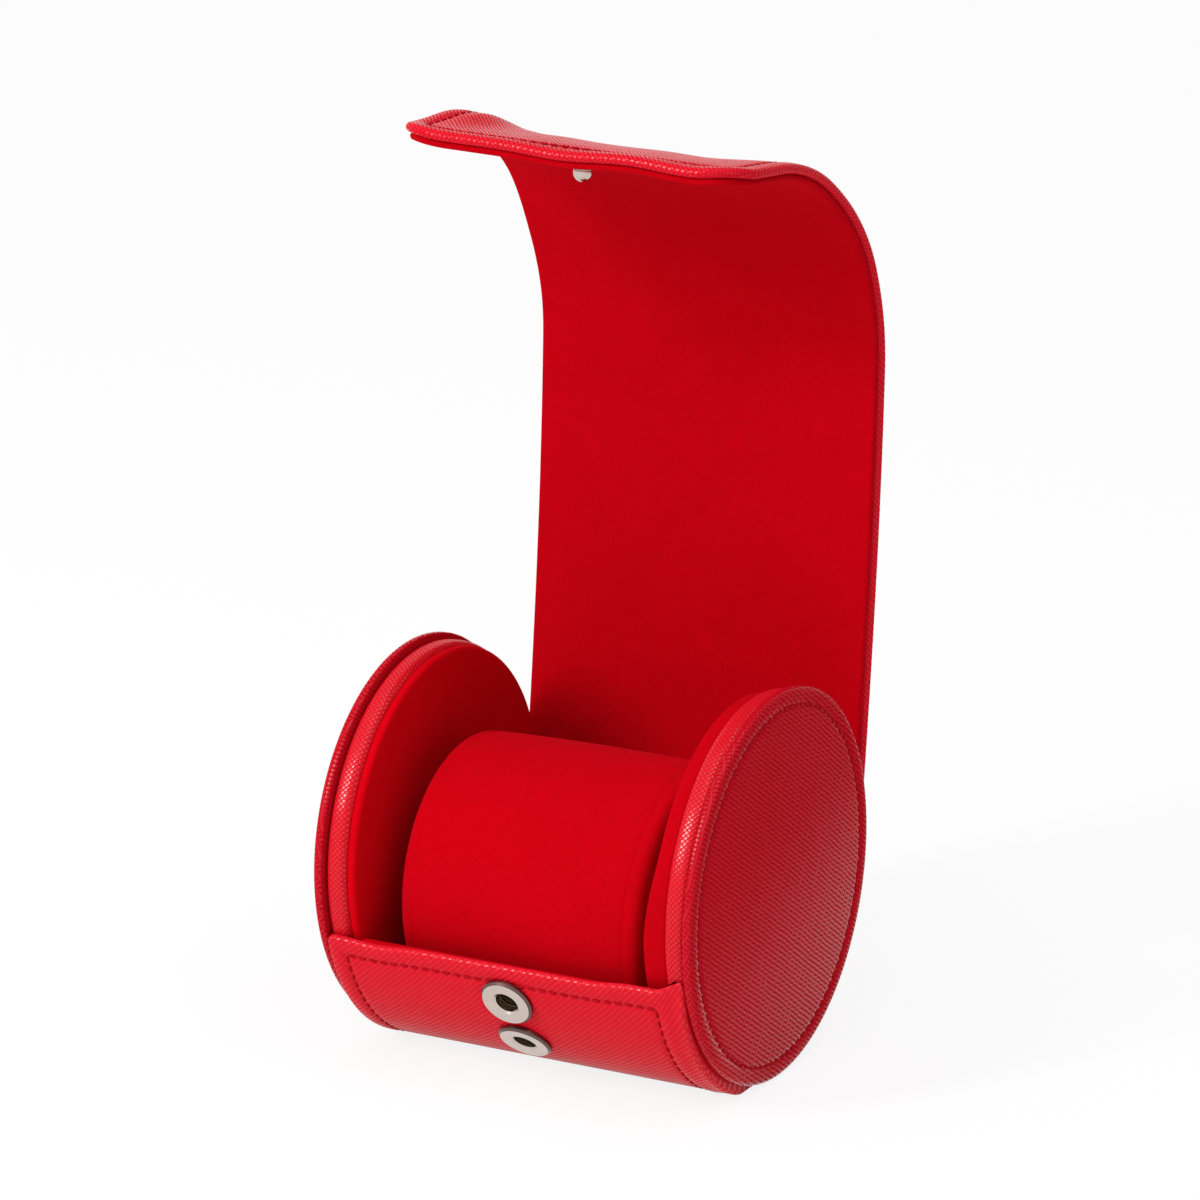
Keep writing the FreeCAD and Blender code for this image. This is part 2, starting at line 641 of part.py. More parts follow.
def tab(frame):
    """The flap's loose end with its snap stud and the rivet plate that holds the stud in the board."""
    length = "sizes.tab_length"
    name = "tab_leather"
    outer = tab_plate(name + "_outer", SKIN_HALF, LINING_TOP, SKIN_TOP, length, "sizes.tab_corner")
    pocket = tab_plate(name + "_pocket", POCKET_HALF, f"{LINING_TOP} - sizes.overrun", BOARD_TOP,
                       f"{length} - sizes.edge_turn", "sizes.tab_corner - sizes.edge_turn",
                       "-sizes.overrun")
    leather = cut(name, outer, pocket)
    name = "tab_board"
    inset = "sizes.edge_turn - sizes.fit_gap"
    plate = tab_plate(name + "_plate", BOARD_HALF, LINING_TOP, BOARD_TOP, f"{length} - {inset}",
                      f"sizes.tab_corner - {inset}")
    shank = "sizes.shank_radius + sizes.fit_gap"
    hole = stud_hole(name + "_hole", shank, f"({LINING_TOP} - sizes.overrun)", SKIN_TOP)
    plate = cut(name + "_bored", plate, hole)
    recess = f"({BOARD_TOP} - sizes.rivet_thickness)"
    hole = stud_hole(name + "_recess", "sizes.rivet_radius + sizes.fit_gap", recess, SKIN_TOP)
    board = cut(name, plate, hole)
    name = "tab_lining"
    plate = tab_plate(name + "_plate", LINING_HALF, LINING_LOW, LINING_TOP,
                      f"{length} - sizes.lining_inset", "sizes.tab_corner - sizes.lining_inset")
    hole = stud_hole(name + "_hole", shank, f"({LINING_LOW} - sizes.overrun)", SKIN_TOP)
    lining = cut(name, plate, hole)

    rivet = doc.addObject("Part::Cylinder", "stud_rivet")
    bind(rivet, Radius="sizes.rivet_radius", Height="sizes.rivet_thickness")
    place = FreeCAD.Vector(0, number(recess), size("stud_reach"))
    rivet.Placement = frame * FreeCAD.Placement(place, FreeCAD.Rotation(Z_AXIS, Y_AXIS))

    shank_start = "(sizes.rivet_thickness - sizes.suede - sizes.flap_board)"
    ball_centre = "(sizes.stud_length - sqrt(sizes.stud_ball ^ 2 - sizes.stud_tip ^ 2))"
    ball_start = f"({ball_centre} - sqrt(sizes.stud_ball ^ 2 - sizes.stud_neck ^ 2))"
    stud = turned("snap_stud", [
        (shank_start, "0"),
        (shank_start, "sizes.shank_radius"),
        ("0", "sizes.shank_radius"),
        ("0", "sizes.stud_foot"),
        ("sizes.stud_foot_height", "sizes.stud_foot"),
        ("sizes.stud_foot_height", "sizes.stud_neck"),
        (ball_start, "sizes.stud_neck"),
        ("sizes.stud_length", "sizes.stud_tip"),
        ("sizes.stud_length", "0"),
    ], {6: "sizes.stud_ball"})
    place = FreeCAD.Vector(0, number(LINING_LOW), size("stud_reach"))
    stud.Placement = frame * along(place, -Y_AXIS)
    for piece in (leather, board, lining):
        piece.Placement = frame
    for piece in (leather, board, lining, rivet, stud):
        keep(piece, piece.Name)


def flap():
    frames = flap_frames()
    flats = len(PANEL_BEND_ANGLES)
    for order, frame in enumerate(frames[:flats], start=1):
        flat_panel(order, frame)
    for order, turn_degrees in enumerate(CURL_TURN_ANGLES, start=flats + 1):
        curl_panel(order, frames[order - 1], turn_degrees)
    tab(frames[-1])


def cushion():
    """The watch cushion: crowned suede sleeve and two caps round foam, seated low in the lining."""
    offset = lining_inner - size("cushion_radius") - size("seat_gap")
    centre = ROLL_AXIS + direction(CUSHION_SEAT_ANGLE) * offset
    half = f"({CUSHION_END} - sizes.cap_depth)"
    edge = "(sizes.cushion_radius - sizes.cushion_crown)"
    inner = f"({edge} - sizes.suede)"
    sleeve_half = f"({half} - sizes.fit_gap)"
    sleeve = turned("cushion_sleeve", [
        (f"-{sleeve_half}", inner),
        (sleeve_half, inner),
        (sleeve_half, edge),
        (f"-{sleeve_half}", edge),
    ], {2: f"({sleeve_half} ^ 2 + sizes.cushion_crown ^ 2) / (2 * sizes.cushion_crown)"})
    core = doc.addObject("Part::Cylinder", "cushion_foam")
    bind(core, Radius=f"{inner} - sizes.fit_gap", Height=f"2 * {sleeve_half}")
    end = centre - X_AXIS * number(sleeve_half)
    core.Placement = FreeCAD.Placement(end, FreeCAD.Rotation(Z_AXIS, X_AXIS))
    caps = []
    for side, turn_degrees in (("left", 180), ("right", 0)):
        cap = turned(f"cushion_cap_{side}", [
            (half, "0"),
            (CUSHION_END, "0"),
            (CUSHION_END, edge),
            (half, edge),
        ])
        round_rims(cap, [(CUSHION_END, edge, "sizes.cap_round"), (half, edge, "sizes.back_round")])
        cap.Placement = FreeCAD.Placement(centre, FreeCAD.Rotation(Z_AXIS, turn_degrees))
        caps.append(cap)
    sleeve.Placement = FreeCAD.Placement(centre, FreeCAD.Rotation())
    for piece in (sleeve, core, *caps):
        keep(piece, piece.Name)


for side in ("left", "right"):
    end_disc(side)
wrap()
for name in SOCKET_ANGLES:
    socket(name)
flap()
cushion()
doc.recompute()

for item in doc.Objects:
    if "Invalid" in item.State or "Error" in item.State:
        raise RuntimeError(f"{item.Label}: {item.State}")
os.makedirs("parts", exist_ok=True)
for piece in pieces:
    shape = piece.Shape
    if shape.isNull() or not shape.isValid() or len(shape.Solids) != 1:
        raise RuntimeError(f"{piece.Label}: not one valid solid")
    shape.exportStep(f"parts/{piece.Label}.step")
print(f"{len(pieces)} parts")
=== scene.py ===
import math
from collections import namedtuple

import bmesh
import bpy
import numpy as np
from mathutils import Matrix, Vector


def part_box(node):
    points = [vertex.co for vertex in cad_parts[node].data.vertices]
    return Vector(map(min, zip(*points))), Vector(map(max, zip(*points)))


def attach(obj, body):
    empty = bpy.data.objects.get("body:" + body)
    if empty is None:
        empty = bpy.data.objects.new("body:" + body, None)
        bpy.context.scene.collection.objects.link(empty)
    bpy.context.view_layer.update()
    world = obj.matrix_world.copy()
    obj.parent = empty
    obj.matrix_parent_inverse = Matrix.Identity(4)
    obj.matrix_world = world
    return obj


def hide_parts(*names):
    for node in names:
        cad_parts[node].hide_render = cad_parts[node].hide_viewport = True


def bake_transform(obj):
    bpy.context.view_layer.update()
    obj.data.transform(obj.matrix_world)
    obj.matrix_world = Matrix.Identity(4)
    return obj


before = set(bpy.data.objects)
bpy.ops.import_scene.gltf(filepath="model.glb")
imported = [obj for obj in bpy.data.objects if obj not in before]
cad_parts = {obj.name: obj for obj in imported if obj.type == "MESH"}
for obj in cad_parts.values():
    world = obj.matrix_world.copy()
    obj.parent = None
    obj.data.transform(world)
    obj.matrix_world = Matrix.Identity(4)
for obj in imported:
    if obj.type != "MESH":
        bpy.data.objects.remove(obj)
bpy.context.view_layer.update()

# The looks of a watch roll in red leather. Sizes are in millimetres until a mesh is made, which is in metres.
# X runs along the roll, +Y to the back, +Z up; the origin is on the floor under the roll's axis. The floor,
# the lamps and the camera are in metres too.

MM = 0.001
FULL_TURN = 2 * math.pi

# Roll, as the part's source gives it
AXIS_HEIGHT = 39.2
FACE_RADIUS = 39.0
RIM_RADIUS = 37.85
INNER_RADIUS = 36.5
HALF_LENGTH = 41.4
FACE_BACK = 39.1
RIM_BACK = 34.6
FRONT_RADIUS = 39.05
BACK_RADIUS = 41.9
WALL_SAG = 2.2
WALL_DROP = 11.6
LINING_INNER = 35.15
SOLE_INSIDE = 38.0
SKIN = 1.2
CUSHION_RADIUS = 28.0
CUSHION_EDGE = 27.5
CUSHION_CENTRE = (-4.218, 33.802)
CAP_DEPTH = 2.2

# Soft forms of the roll, which depart a little from its solids
THIN_INNER_FACE = 32.5
THIN_INNER_RADIUS = 37.0
FULL_INNER_FACE = 29.3
FLAT_INNER_FACE = 31.2
FACE_AT_SEAM = HALF_LENGTH - 0.35
FACE_BULGE = 0.9
FACE_EDGE_ROUND = 1.1
RIM_CROWN = 1.25
WALL_HALF = 38.95
WALL_ROUND = 0.8
WALL_TOP_ROUND = 0.83
WALL_SIDE_ROUND = 0.35
WALL_CORNER = 1.6
CUSHION_HALF = 26.1
CUSHION_ROUND = 2.0

# Flap, as the part's source gives it
PANEL = 19.8
CURL = 28.75
TAB = 24.8
FLAP_HALF = 38.3
TAB_CORNER = 9.0
HINGE_DEPTH = 0.6
LINING_INSET = 0.9
PANEL_LEANS = (-7.0, -6.0, -5.0, -3.5, -2.0)
CURL_LEANS = (10.3, 39.3, 78.3)
TAB_LEAN = 86.3
TWIST = -3.0

# The flap's leather and suede, which take up the board between them
SHELL = 1.9
LINING = 1.4
EDGE_FLAT = 0.01
SHELL_ROUND = SHELL / 2 - EDGE_FLAT
LINING_ROUND = LINING / 2 - EDGE_FLAT

# Places along the flap, measured from its root. The first stretch starts below it, on the back of the roll.
ROOT_START = -10.0
HINGE_RADIUS = BACK_RADIUS - HINGE_DEPTH
CURL_START = len(PANEL_LEANS) * PANEL
TWIST_AT = CURL_START + CURL
CURL_END = CURL_START + 2 * CURL
TIP = CURL_END + TAB
CREST = TWIST_AT + 0.8 * CURL
EASE = 7.0
TWIST_MARGIN = 1.0

# Sewing
STITCH_PITCH = 2.3
STITCH_SHARE = 0.78
STITCH_SINK = 0.16
STITCH_INSET = 4.3
WALL_STITCH_INSET = STITCH_INSET - 0.4
RIGHT_MARGIN = 2.2
FACE_STITCH_RADIUS = 35.4
FACE_STITCH_AT = HALF_LENGTH - 0.45
SEAM_DEPTH = 0.3
FACE_SEAM_DEPTH = 0.2
WALL_SEAM_END = 39.5
BACK_SEAM_HEIGHT = 1.2
SEAM_STEPS = 200

# Fineness of the meshes
STATION_STEP = 0.8
FLAP_STEP = 0.05
WRAP_STEP = 0.1
EDGE_ROWS = 7
FACE_SEGMENTS = 320
ROUND_SEGMENTS = 256
EVEN_MIDDLE = np.linspace(-1.0, 1.0, 33)

# Camera, fitted to the photograph: the image in pixels, the sensor in millimetres, angles in degrees and
# places in metres
IMAGE_SIZE = 1200.0
IMAGE_CENTRE = (593.904, 607.059)
FOCAL_LENGTH = 4642.0753
SENSOR = 36.0
VIEW_AZIMUTH = 28.22
VIEW_ELEVATION = 15.43
VIEW_DISTANCE = 0.899904
VIEW_TARGET = (-0.000130, 0.0, (50.441 + AXIS_HEIGHT) * MM)

# Stage: half the floor's width, how bright the floor looks, and how much light comes from all around
FLOOR_HALF = 3.0
BACKGROUND_SHARE = 0.86
AMBIENT = 0.36

# A Mix node has numbers, vectors and colours under the same names, so its colours go by their order.
MIX_FIRST, MIX_SECOND, MIX_RESULT = 6, 7, 2


class Value:
    """A number in a material's node tree. Arithmetic on it adds Math nodes."""

    def __init__(self, finish, socket):
        self.finish = finish
        self.socket = socket

    def maths(self, operation, first, second=0.0):
        return self.finish.node("ShaderNodeMath", {"operation": operation}, {0: first, 1: second})

    def __add__(self, other):
        return self.maths("ADD", self, other)

    def __radd__(self, other):
        return self.maths("ADD", other, self)

    def __sub__(self, other):
        return self.maths("SUBTRACT", self, other)

    def __rsub__(self, other):
        return self.maths("SUBTRACT", other, self)

    def __mul__(self, other):
        return self.maths("MULTIPLY", self, other)

    def __rmul__(self, other):
        return self.maths("MULTIPLY", other, self)

    def __pow__(self, other):
        return self.maths("POWER", self, other)

    def wave(self):
        """A smooth wave from 0 to 1."""
        return self.maths("SINE", self) * 0.5 + 0.5

    def highest(self, other):
        return self.maths("MAXIMUM", self, other)

    def lowest(self, other):
        return self.maths("MINIMUM", self, other)


class Finish:
    """A material under construction. node() adds any node and returns one of its outputs as a Value."""

    def __init__(self, name, world=None):
        self.material = world or bpy.data.materials.new(name)
        self.material.use_nodes = True
        self.tree = self.material.node_tree
        self.tree.nodes.clear()

    def node(self, kind, settings=None, sockets=None, output=0):
        node = self.tree.nodes.new(kind)
        for name, setting in (settings or {}).items():
            setattr(node, name, setting)
        for name, value in (sockets or {}).items():
            if isinstance(value, Value):
                self.tree.links.new(value.socket, node.inputs[name])
            else:
                node.inputs[name].default_value = value
        return Value(self, node.outputs[output])

    def place(self):
        """The place on the piece, in the object's own coordinates."""
        return self.node("ShaderNodeTexCoord", output="Object")

    def parts(self, vector):
        """The three numbers of a vector."""
        return [self.node("ShaderNodeSeparateXYZ", None, {0: vector}, axis) for axis in range(3)]

    def blend(self, share, first, second):
        """A colour between two colours."""
        sockets = {"Factor": share, MIX_FIRST: first, MIX_SECOND: second}
        return self.node("ShaderNodeMix", {"data_type": "RGBA"}, sockets, MIX_RESULT)

    def noise(self, vector, scale, detail=2.0, roughness=0.5):
        sockets = {"Vector": vector, "Scale": scale, "Detail": detail, "Roughness": roughness}
        return self.node("ShaderNodeTexNoise", None, sockets)

    def rise(self, value, low, high):
        """From 0 to 1 as a value goes from low to high."""
        sockets = {"Value": value, "From Min": low, "From Max": high}
        return self.node("ShaderNodeMapRange", {"interpolation_type": "SMOOTHSTEP"}, sockets)

    def bump(self, height, strength, distance):
        sockets = {"Height": height, "Strength": strength, "Distance": distance}
        return self.node("ShaderNodeBump", None, sockets)

    def surface(self, **sockets):
        """Ends the material in a Principled shader, whose sockets are given with _ for each space."""
        named = {name.replace("_", " "): value for name, value in sockets.items()}
        self.end(self.node("ShaderNodeBsdfPrincipled", None, named))
        return self.material

    def end(self, shader, kind="ShaderNodeOutputMaterial"):
        node = self.tree.nodes.new(kind)
        self.tree.links.new(shader.socket, node.inputs["Surface"])


def ribbed_leather(name, crest, valley, pitch, cross_pitch, mesh, relief, polish, grazing, edge_polish,
                   body_gloss=0.05, weave=0.0, sheen_span=None):
    """Pressed leather: slanting ribs, cut in patches by finer cross lines, with polished crests. The grain
    attribute lays the ribs along the piece's own surface; its third number says where handling has polished
    an edge. mesh is how far the cross lines reach beyond their patches, grazing a gloss on the crests that
    shows only at a low angle, and body_gloss the gloss of crests and valleys alike. weave raises the cross
    lines in their patches, and the last argument is a span along the grain over which a painted sheen grows."""
    finish = Finish(name)
    grain = finish.node("ShaderNodeAttribute", {"attribute_name": "grain"}, output="Vector")
    along, across, edge = finish.parts(grain)
    flat = finish.node("ShaderNodeCombineXYZ", None, {"X": along, "Y": across})
    drift = finish.noise(flat, scale=130.0)
    pores = finish.noise(flat, scale=2600.0, roughness=0.6)
    cloud = finish.noise(flat, scale=45.0, detail=3.0)
    turn = FULL_TURN / MM
    slant, cross_slant = (0.68, 0.74), (0.77, 0.64)
    main = ((along * slant[0] + across * slant[1]) * (turn / pitch) + drift * 5.0).wave()
    cross = ((along * cross_slant[0] - across * cross_slant[1]) * (turn / cross_pitch) + drift * 6.0).wave()
    woven = edge.highest(mesh)
    patches = finish.rise(finish.noise(flat, scale=210.0), low=0.36, high=0.66) * (1.0 - woven) + woven
    ribs = main * (1.0 - cross ** (3.0 - 2.0 * woven) * patches * (0.35 * woven + 0.6))
    ribs = ribs.highest(cross ** 5.0 * patches * weave)
    share = ribs * 0.72 + cloud * 0.3 + pores * 0.2 - 0.12
    facing = finish.node("ShaderNodeLayerWeight", None, {"Blend": 0.5}, "Facing")
    # Painted sheen: the crests' gloss grows along the grain over the given span.
    painted_sheen = 1.0
    if sheen_span is not None:
        painted_sheen = finish.rise(across, sheen_span[0] * MM, sheen_span[1] * MM) * 0.75 + 0.25
    gloss = ribs * (facing ** 5.0 * grazing * painted_sheen + polish) + edge * ribs * edge_polish
    return finish.surface(
        Base_Color=finish.blend(share, valley, crest),
        Roughness=0.5 - ribs * 0.12 + pores * 0.08,
        Coat_Weight=gloss.lowest(1.0),
        Coat_Roughness=0.22,
        Normal=finish.bump((ribs + pores * 0.25) * (1.0 - edge * 0.25), 0.75, relief * MM),
        Specular_IOR_Level=body_gloss,
    )


def soft_suede(name, light, dark):
    """Brushed suede: a short nap that lies in soft clouds."""
    finish = Finish(name)
    place = finish.place()
    cloud = finish.noise(place, scale=38.0, detail=3.0, roughness=0.55)
    streak = finish.noise(place, scale=230.0)
    tuft = finish.noise(place, scale=850.0, detail=3.0, roughness=0.7)
    nap = finish.noise(place, scale=4200.0, roughness=0.7)
    share = cloud * 0.7 + streak * 0.35 + tuft * 1.1 + nap * 0.4 - 0.77
    return finish.surface(
        Base_Color=finish.blend(share, dark, light),
        Roughness=0.94,
        Normal=finish.bump(nap + streak * 0.5, 0.3, 0.05 * MM),
        Specular_IOR_Level=0.02,
        Sheen_Weight=0.12,
        Sheen_Roughness=0.5,
        Sheen_Tint=(1.0, 0.03, 0.06, 1.0),
    )


def plain_metal(name, colour, roughness):
    """Plated metal with a faint haze."""
    finish = Finish(name)
    place = finish.place()
    haze = finish.noise(place, scale=900.0)
    tarnish = finish.noise(place, scale=260.0, detail=3.0)
    dull = tuple(0.86 * part for part in colour[:3]) + (1,)
    return finish.surface(
        Base_Color=finish.blend(tarnish, dull, colour),
        Metallic=1.0,
        Roughness=haze * 0.12 + roughness,
    )


def waxed_thread(name, light, dark):
    """Twisted thread with wax in its strands."""
    finish = Finish(name)
    strand = finish.noise(finish.place(), scale=2400.0, roughness=0.6)
    return finish.surface(
        Base_Color=finish.blend(strand, dark, light),
        Roughness=0.6,
        Specular_IOR_Level=0.02,
        Normal=finish.bump(strand, 0.4, 0.06 * MM),
    )


LEATHER = ribbed_leather(
    "red ribbed leather", crest=(0.69, 0.009, 0.024, 1), valley=(0.58, 0.006, 0.016, 1),
    pitch=0.93, cross_pitch=1.5, mesh=0.0, relief=0.10, polish=0.04, grazing=0.55, edge_polish=0.5)
FLAP_LEATHER = ribbed_leather(
    "red flap leather", crest=(0.69, 0.009, 0.024, 1), valley=(0.58, 0.006, 0.016, 1),
    pitch=0.93, cross_pitch=0.74, mesh=0.95, relief=0.20, polish=0.08, grazing=3.0, edge_polish=0.35,
    body_gloss=0.0)
# The end faces' leather: the same leather in a darker colour, which is painted shade, and with a painted
# sheen that grows towards their bottom.
SHADED_END_LEATHER = ribbed_leather(
    "red end leather with painted shade", crest=(0.54, 0.007, 0.018, 1), valley=(0.40, 0.002, 0.008, 1),
    pitch=0.93, cross_pitch=2.15, mesh=0.4, relief=0.12, polish=0.0, grazing=8.0, edge_polish=0.35,
    body_gloss=0.0, weave=0.85, sheen_span=(16.0, -24.0))
BAND_LEATHER = ribbed_leather(
    "stretched red leather", crest=(0.68, 0.009, 0.022, 1), valley=(0.58, 0.005, 0.014, 1),
    pitch=0.78, cross_pitch=0.78, mesh=1.0, relief=0.20, polish=0.9, grazing=0.0, edge_polish=0.0)
SUEDE = soft_suede("red suede", light=(0.52, 0.0002, 0.006, 1), dark=(0.40, 0.0, 0.003, 1))
# A lighter copy of the suede for the left inner disc: painted light, standing in for light that the lamps
# here don't give it.
LIT_SUEDE = soft_suede("red suede with painted light",
                          light=(0.60, 0.0003, 0.006, 1), dark=(0.48, 0.0, 0.003, 1))
NICKEL = plain_metal("polished nickel", (0.64, 0.56, 0.50, 1), roughness=0.18)
# Dark nickel for the sides of the socket flanges: painted shade and painted dark reflection.
NICKEL_EDGE_SHADE = plain_metal("nickel edge with painted shade", (0.16, 0.10, 0.09, 1), roughness=0.25)
# Dark metal for the springs, washers and bore bottoms: painted shade of the deep bores.
BORE_SHADE_METAL = plain_metal("metal with painted bore shade", (0.11, 0.082, 0.042, 1), roughness=0.42)
THREAD = waxed_thread("dark red thread", light=(0.47, 0.007, 0.016, 1), dark=(0.30, 0.003, 0.008, 1))
# The end faces' stitches use a darker copy of the thread: painted shade of their holes and furrow.
SHADED_FACE_THREAD = waxed_thread("red thread with painted shade", light=(0.24, 0.003, 0.008, 1), dark=(0.14, 0.001, 0.004, 1))


def add_object(name, data):
    thing = bpy.data.objects.new(name, data)
    bpy.context.scene.collection.objects.link(thing)
    return thing


def make_object(name, points, faces, material, grain=None, normals=None):
    """A smooth mesh object from points in millimetres, with surface coordinates that its finish follows."""
    mesh = bpy.data.meshes.new(name)
    mesh.from_pydata((np.asarray(points) * MM).tolist(), [], [tuple(int(i) for i in face) for face in faces])
    mesh.update()
    mesh.materials.append(material)
    mesh.shade_smooth()
    if grain is not None:
        layer = mesh.attributes.new("grain", "FLOAT_VECTOR", "POINT")
        flat = np.zeros((len(points), 3), np.float32)
        flat[:, :np.shape(grain)[1]] = grain
        flat[:, :2] *= MM
        layer.data.foreach_set("vector", flat.ravel())
    if normals is not None:
        mesh.normals_split_custom_set_from_vertices(normals.tolist())
    return add_object(name, mesh)


def lay_grain(piece, along, across, polish):
    """Sets the surface coordinates of a piece anew."""
    flat = np.stack([along * MM, across * MM, polish], 1).astype(np.float32)
    piece.data.attributes["grain"].data.foreach_set("vector", flat.ravel())


def mesh_points(piece):
    return np.array([vertex.co for vertex in piece.data.vertices]) / MM


def dress(piece, body, slot, *nodes):
    """Says which body carries a piece and which nodes it stands in for. slot, what it is made of, is not
    used.
    """
    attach(piece, body)
    if nodes:
        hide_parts(*nodes)


def smoothstep(x):
    t = np.clip(x, 0.0, 1.0)
    return t * t * (3 - 2 * t)


def ramp(x, start, length):
    """From 0 to 1 over a length."""
    return smoothstep((x - start) / length)


def hump(x, middle, width):
    """A soft hump, which is 1 in its middle."""
    return np.exp(-((x - middle) / width) ** 2)


def lengths_along(path):
    """How far each point of a polyline is from its start."""
    return np.concatenate([[0], np.cumsum(np.linalg.norm(np.diff(path, axis=0), axis=1))])


def edge_samples(radius, steps=EDGE_ROWS):
    """Distances from an edge that follow a quarter round evenly."""
    return radius * (1 - np.cos(np.linspace(0.0, math.pi / 2, steps)))


def round_off(distance, radius):
    """How far a rounded edge drops below the flat, at a distance from the edge."""
    near = np.clip(1 - distance / radius, 0.0, 1.0)
    return radius * (1 - np.sqrt(1 - near ** 2))


def even_stations(start, end, step=STATION_STEP):
    return list(np.linspace(start, end, max(int(round((end - start) / step)), 2) + 1))


def round_edge_grain(edge, station, across):
    """Where the leather's ribs lie: flat, and on over the rounded edges without stretching there."""
    radius, step = 0.95, 0.05
    turn = np.arcsin(np.clip(1 - edge(station, across) / radius, 0.0, 1.0))
    beyond = radius * (turn - np.sin(turn))
    out_x = edge(station, across - step) - edge(station, across + step)
    out_s = edge(station - step, across) - edge(station + step, across)
    size = np.hypot(out_x, out_s) + 1e-9
    return across + beyond * out_x / size, station + beyond * out_s / size


def slab_rows(place, stations, half_width, top, bottom, edge, middle):
    """One closed ring of points across a sheet at each station, and the surface coordinates there."""
    fine, coarse, polished_edge = 1.2, (1.5, 8.0), 1.4
    margin = np.concatenate([edge_samples(fine), np.linspace(*coarse, 16)[1:]])
    rows, grains = [], []
    for station in stations:
        half = half_width(station)
        reach = half - margin[-1]
        across = np.concatenate([-half + margin, middle[1:-1] * reach, half - margin[::-1]])
        line = np.full_like(across, station)
        high, low = top(line, across), bottom(line, across)
        rows.append(np.concatenate([place(line, across, high), place(line, across, low)[::-1]]))
        polish = hump(edge(line, across), 0.0, polished_edge)
        both = [np.concatenate([row, row[::-1]]) for row in (*round_edge_grain(edge, line, across), polish)]
        grains.append(np.stack(both, 1))
    return np.array(rows), np.array(grains)


def slab(name, place, stations, half_width, top, bottom, material, edge, before=0, after=0,
         middle=EVEN_MIDDLE):
    """A soft sheet with thickness. place maps (station, across, height) to points, top and bottom give
    heights at (station, across), and edge the distance from the outline. before and after say how many
    stations only serve the shading, and middle where the points between the two margins lie."""
    rows, grains = slab_rows(place, stations, half_width, top, bottom, edge, middle)
    count, loop = rows.shape[:2]
    index = np.arange(count * loop).reshape(count, loop)

    def strips(first, last):
        here, there = index[first:last - 1], index[first + 1:last]
        quads = np.stack([here, there, np.roll(there, -1, 1), np.roll(here, -1, 1)], -1)
        return quads.reshape(-1, 4).tolist()

    def cap(row):
        ring = index[row]
        return [(ring[k], ring[k + 1], ring[loop - 2 - k], ring[loop - 1 - k]) for k in range(loop // 2 - 1)]

    whole = bpy.data.meshes.new("shading")
    whole.from_pydata(rows.reshape(-1, 3).tolist(), [], strips(0, count))
    whole.update()
    normals = np.array([vertex.normal for vertex in whole.vertices]).reshape(count, loop, 3)
    bpy.data.meshes.remove(whole)
    first, last = before, count - after
    end_cap = [quad[::-1] for quad in cap(last - 1)]
    faces = np.array(strips(first, last) + cap(first) + end_cap) - first * loop
    points, grain, normals = (part[first:last].reshape(-1, 3) for part in (rows, grains, normals))
    return make_object(name, points, faces, material, grain, normals)


def flap_leans():
    """How the flap leans in the side view, at distances from its root: eased at every joint."""
    lead, overrun = ROOT_START - 30.0, 5.0
    knots = [(lead, math.degrees(lead / HINGE_RADIUS))]
    knots += [(-EASE, math.degrees(-EASE / HINGE_RADIUS)), (EASE, PANEL_LEANS[0])]
    for order in range(1, len(PANEL_LEANS)):
        joint = order * PANEL
        knots += [(joint - EASE, PANEL_LEANS[order - 1]), (joint + EASE, PANEL_LEANS[order])]
    first_rate, second_rate = np.diff(CURL_LEANS) / CURL
    knots += [(CURL_START - EASE, PANEL_LEANS[-1]), (CURL_START + EASE, CURL_LEANS[0] + first_rate * EASE)]
    knots += [(TWIST_AT, CURL_LEANS[1]), (CURL_END - EASE, CURL_LEANS[2] - second_rate * EASE)]
    knots += [(CURL_END + EASE, TAB_LEAN), (TIP + overrun, TAB_LEAN)]
    return np.array(knots)


def flap_line():
    """Steps along the flap, with the points and the lean of its hinge line there in the side view. The line
    starts on the wrap's back arc."""
    before, beyond = 10.0, 4.0
    along = np.arange(ROOT_START - before, TIP + beyond, FLAP_STEP)
    knots = flap_leans()
    lean = np.radians(np.interp(along, knots[:, 0], knots[:, 1]))
    start = along[0] / HINGE_RADIUS
    origin = np.array([HINGE_RADIUS * math.cos(start), AXIS_HEIGHT + HINGE_RADIUS * math.sin(start)])
    middle = (lean[1:] + lean[:-1]) / 2
    steps = np.stack([-np.sin(middle), np.cos(middle)], 1) * FLAP_STEP
    return along, np.vstack([origin, origin + np.cumsum(steps, 0)]), lean


FLAP_STEPS, FLAP_LINE, FLAP_LEAN = flap_line()


def flap_side(station, height):
    """Side view point at a distance along the flap and a height above its hinge line."""
    y = np.interp(station, FLAP_STEPS, FLAP_LINE[:, 0])
    z = np.interp(station, FLAP_STEPS, FLAP_LINE[:, 1])
    lean = np.interp(station, FLAP_STEPS, FLAP_LEAN)
    return y + np.cos(lean) * height, z + np.sin(lean) * height


def flap_middle(station):
    """The point in the middle of the flap's width and thickness."""
    y, z = flap_side(station, HINGE_DEPTH - (SHELL + LINING) / 2)
    return np.array([0.0, float(y), float(z)])


TWIST_START = flap_middle(TWIST_AT - CURL / 2 + TWIST_MARGIN)
TWIST_END = flap_middle(TWIST_AT + CURL / 2 - TWIST_MARGIN)


